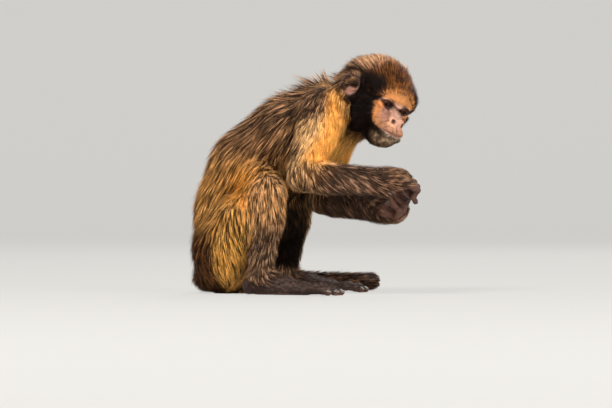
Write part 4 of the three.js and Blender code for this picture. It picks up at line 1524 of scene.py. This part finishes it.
def down_tones(roots, grown):
    """Down of the skin's own colour, with pale tips on the brow and cheeks, and whitish hairs among grey
    ones on the lower lip and chin."""
    count = len(roots)
    skin_tone = skin_colour(roots, grown["normals"], grown["shares"])
    _, y, z = in_head(roots).T
    grizzled = mix(colour("4a3626"), colour("e0ceb4"), (rng.uniform(size=(count, 1)) < 0.4) * 1.0)
    tan = np.clip(ramp(2, 7, z) + ramp(12, 18, np.abs(y)) * ramp(4, -4, z), 0, 1)
    pale = mix(skin_tone * 1.03, colour("cc9058"), 0.5 * tan[:, None])
    tone = mix(pale, grizzled, ramp(-28.5, -31, z)[:, None]) * rng.uniform(0.7, 1.3, (count, 1))
    return tone * 0.8, tone * 1.15


def coat_piece(name, roots, tones_of, growth, regions):
    """One object of locks, unwrapped along the bones of its regions."""
    places = unwrap(roots, np.flatnonzero(np.isin(BONE_NAMES, regions)))
    grown, kept = grow(roots, growth)
    base, tip = tones_of(roots[kept], grown)
    points, faces, tones, uv = lock_mesh(grown, base, tip, places[kept])
    piece = new_mesh(name, points, faces, HAIR, tones, uv)
    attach(piece, "root")


# The coat's pieces: the slot, and the regions that each takes in.
COATS = {
    "trunk": ("coat_back", ["trunk"]),
    "neck": ("coat_gold", ["neck"]),
    "head": ("coat_head", ["head"]),
    **{f"arm_{n}": ("coat_dark", [f"upper_arm_{n}", f"forearm_{n}", f"hand_{n}"]) for n in SIDES},
    **{f"leg_{n}": ("coat_back", [f"thigh_{n}", f"shin_{n}", f"foot_{n}"]) for n in SIDES},
    "tail": ("coat_dark", ["tail"]),
}


def coat():
    """The coat's pieces, of which the trunk's and the head's are cut down the middle."""
    roots = sow(coat_density)
    owner = BONE_NAMES[np.argmax(bone_shares(roots), axis=1)]
    left_of = {"trunk": roots[:, 1] > 0, "head": in_head(roots)[:, 1] > 0}
    for name, (slot, regions) in COATS.items():
        mine = np.isin(owner, regions)
        pieces = {"": mine}
        if name in left_of:
            pieces = {"_left": mine & left_of[name], "_right": mine & ~left_of[name]}
        for side, some in pieces.items():
            coat_piece(f"coat_{name}{side}", roots[some], lock_tones, coat_growth, regions)


coat()
coat_piece("coat_face", sow(down_density), down_tones, down_growth, ["head"])

# ---- floor, light and camera

RIGHT, TOWARD = vec(0.966, 0.259, 0), vec(0.259, -0.966, 0)
MIDDLE = vec(0, 0, 130)
FLOOR_HALF, WALL_AT, WALL_TOP, BEND = 60000, 8000.0, 16000, 1500.0  # BEND joins the floor to the wall
WIDE = 703.8  # how much the picture's width takes in at the animal
LENS, FILM = 180, 36


def backdrop():
    """A level floor that curves up into a wall: a profile of floor, quarter circle and wall, drawn out
    sideways."""
    turn = np.linspace(0, np.pi / 2, 13)
    curve = np.stack([WALL_AT + BEND * np.sin(turn), BEND * (1 - np.cos(turn))], axis=1)
    profile = np.array([[-FLOOR_HALF, 0], *curve, [WALL_AT + BEND, WALL_TOP]])
    points = [s * RIGHT * FLOOR_HALF - away * TOWARD + up * UP for away, up in profile for s in (-1, 1)]
    faces = np.array([[2 * i, 2 * i + 1, 2 * i + 3, 2 * i + 2] for i in range(len(profile) - 1)])
    piece = new_mesh("floor", np.array(points) - SHIFT, faces, FLOOR)


def stand(name, what, place, aim):
    """A lamp or the camera at a place, looking at another."""
    place, aim = [(p + SHIFT) * MM for p in (place, aim)]
    thing = bpy.data.objects.new(name, what)
    bpy.context.scene.collection.objects.link(thing)
    thing.location = place
    thing.rotation_euler = Vector(aim - place).to_track_quat("-Z", "Y").to_euler()
    return thing


def lamp(name, right, toward, up, size, power):
    """A square lamp of a size in metres and a power in watts, aimed at the model's middle from there."""
    light = bpy.data.lights.new(name, "AREA")
    light.size = size
    light.energy = power
    stand(name, light, MIDDLE + right * RIGHT + toward * TOWARD + up * UP, MIDDLE)


backdrop()
lamp("key", -900, 1900, 1900, 0.9, 130)
lamp("fill", 1700, 2000, 500, 1.8, 108)
lamp("rim", 1000, -2600, 2600, 1.6, 90)

world = bpy.data.worlds.new("studio")
world.use_nodes = True
world.node_tree.nodes["Background"].inputs["Color"].default_value = (1.0, 0.98, 0.96, 1)
world.node_tree.nodes["Background"].inputs["Strength"].default_value = 0.5
bpy.context.scene.world = world

camera = bpy.data.cameras.new("camera")
camera.lens = LENS
camera.sensor_width = FILM
camera.clip_end = 50
aim = 6.9 * RIGHT + 103.5 * UP
bpy.context.scene.camera = stand("camera", camera, aim + WIDE * LENS / FILM * TOWARD, aim)
bpy.context.scene.view_settings.view_transform = "Standard"
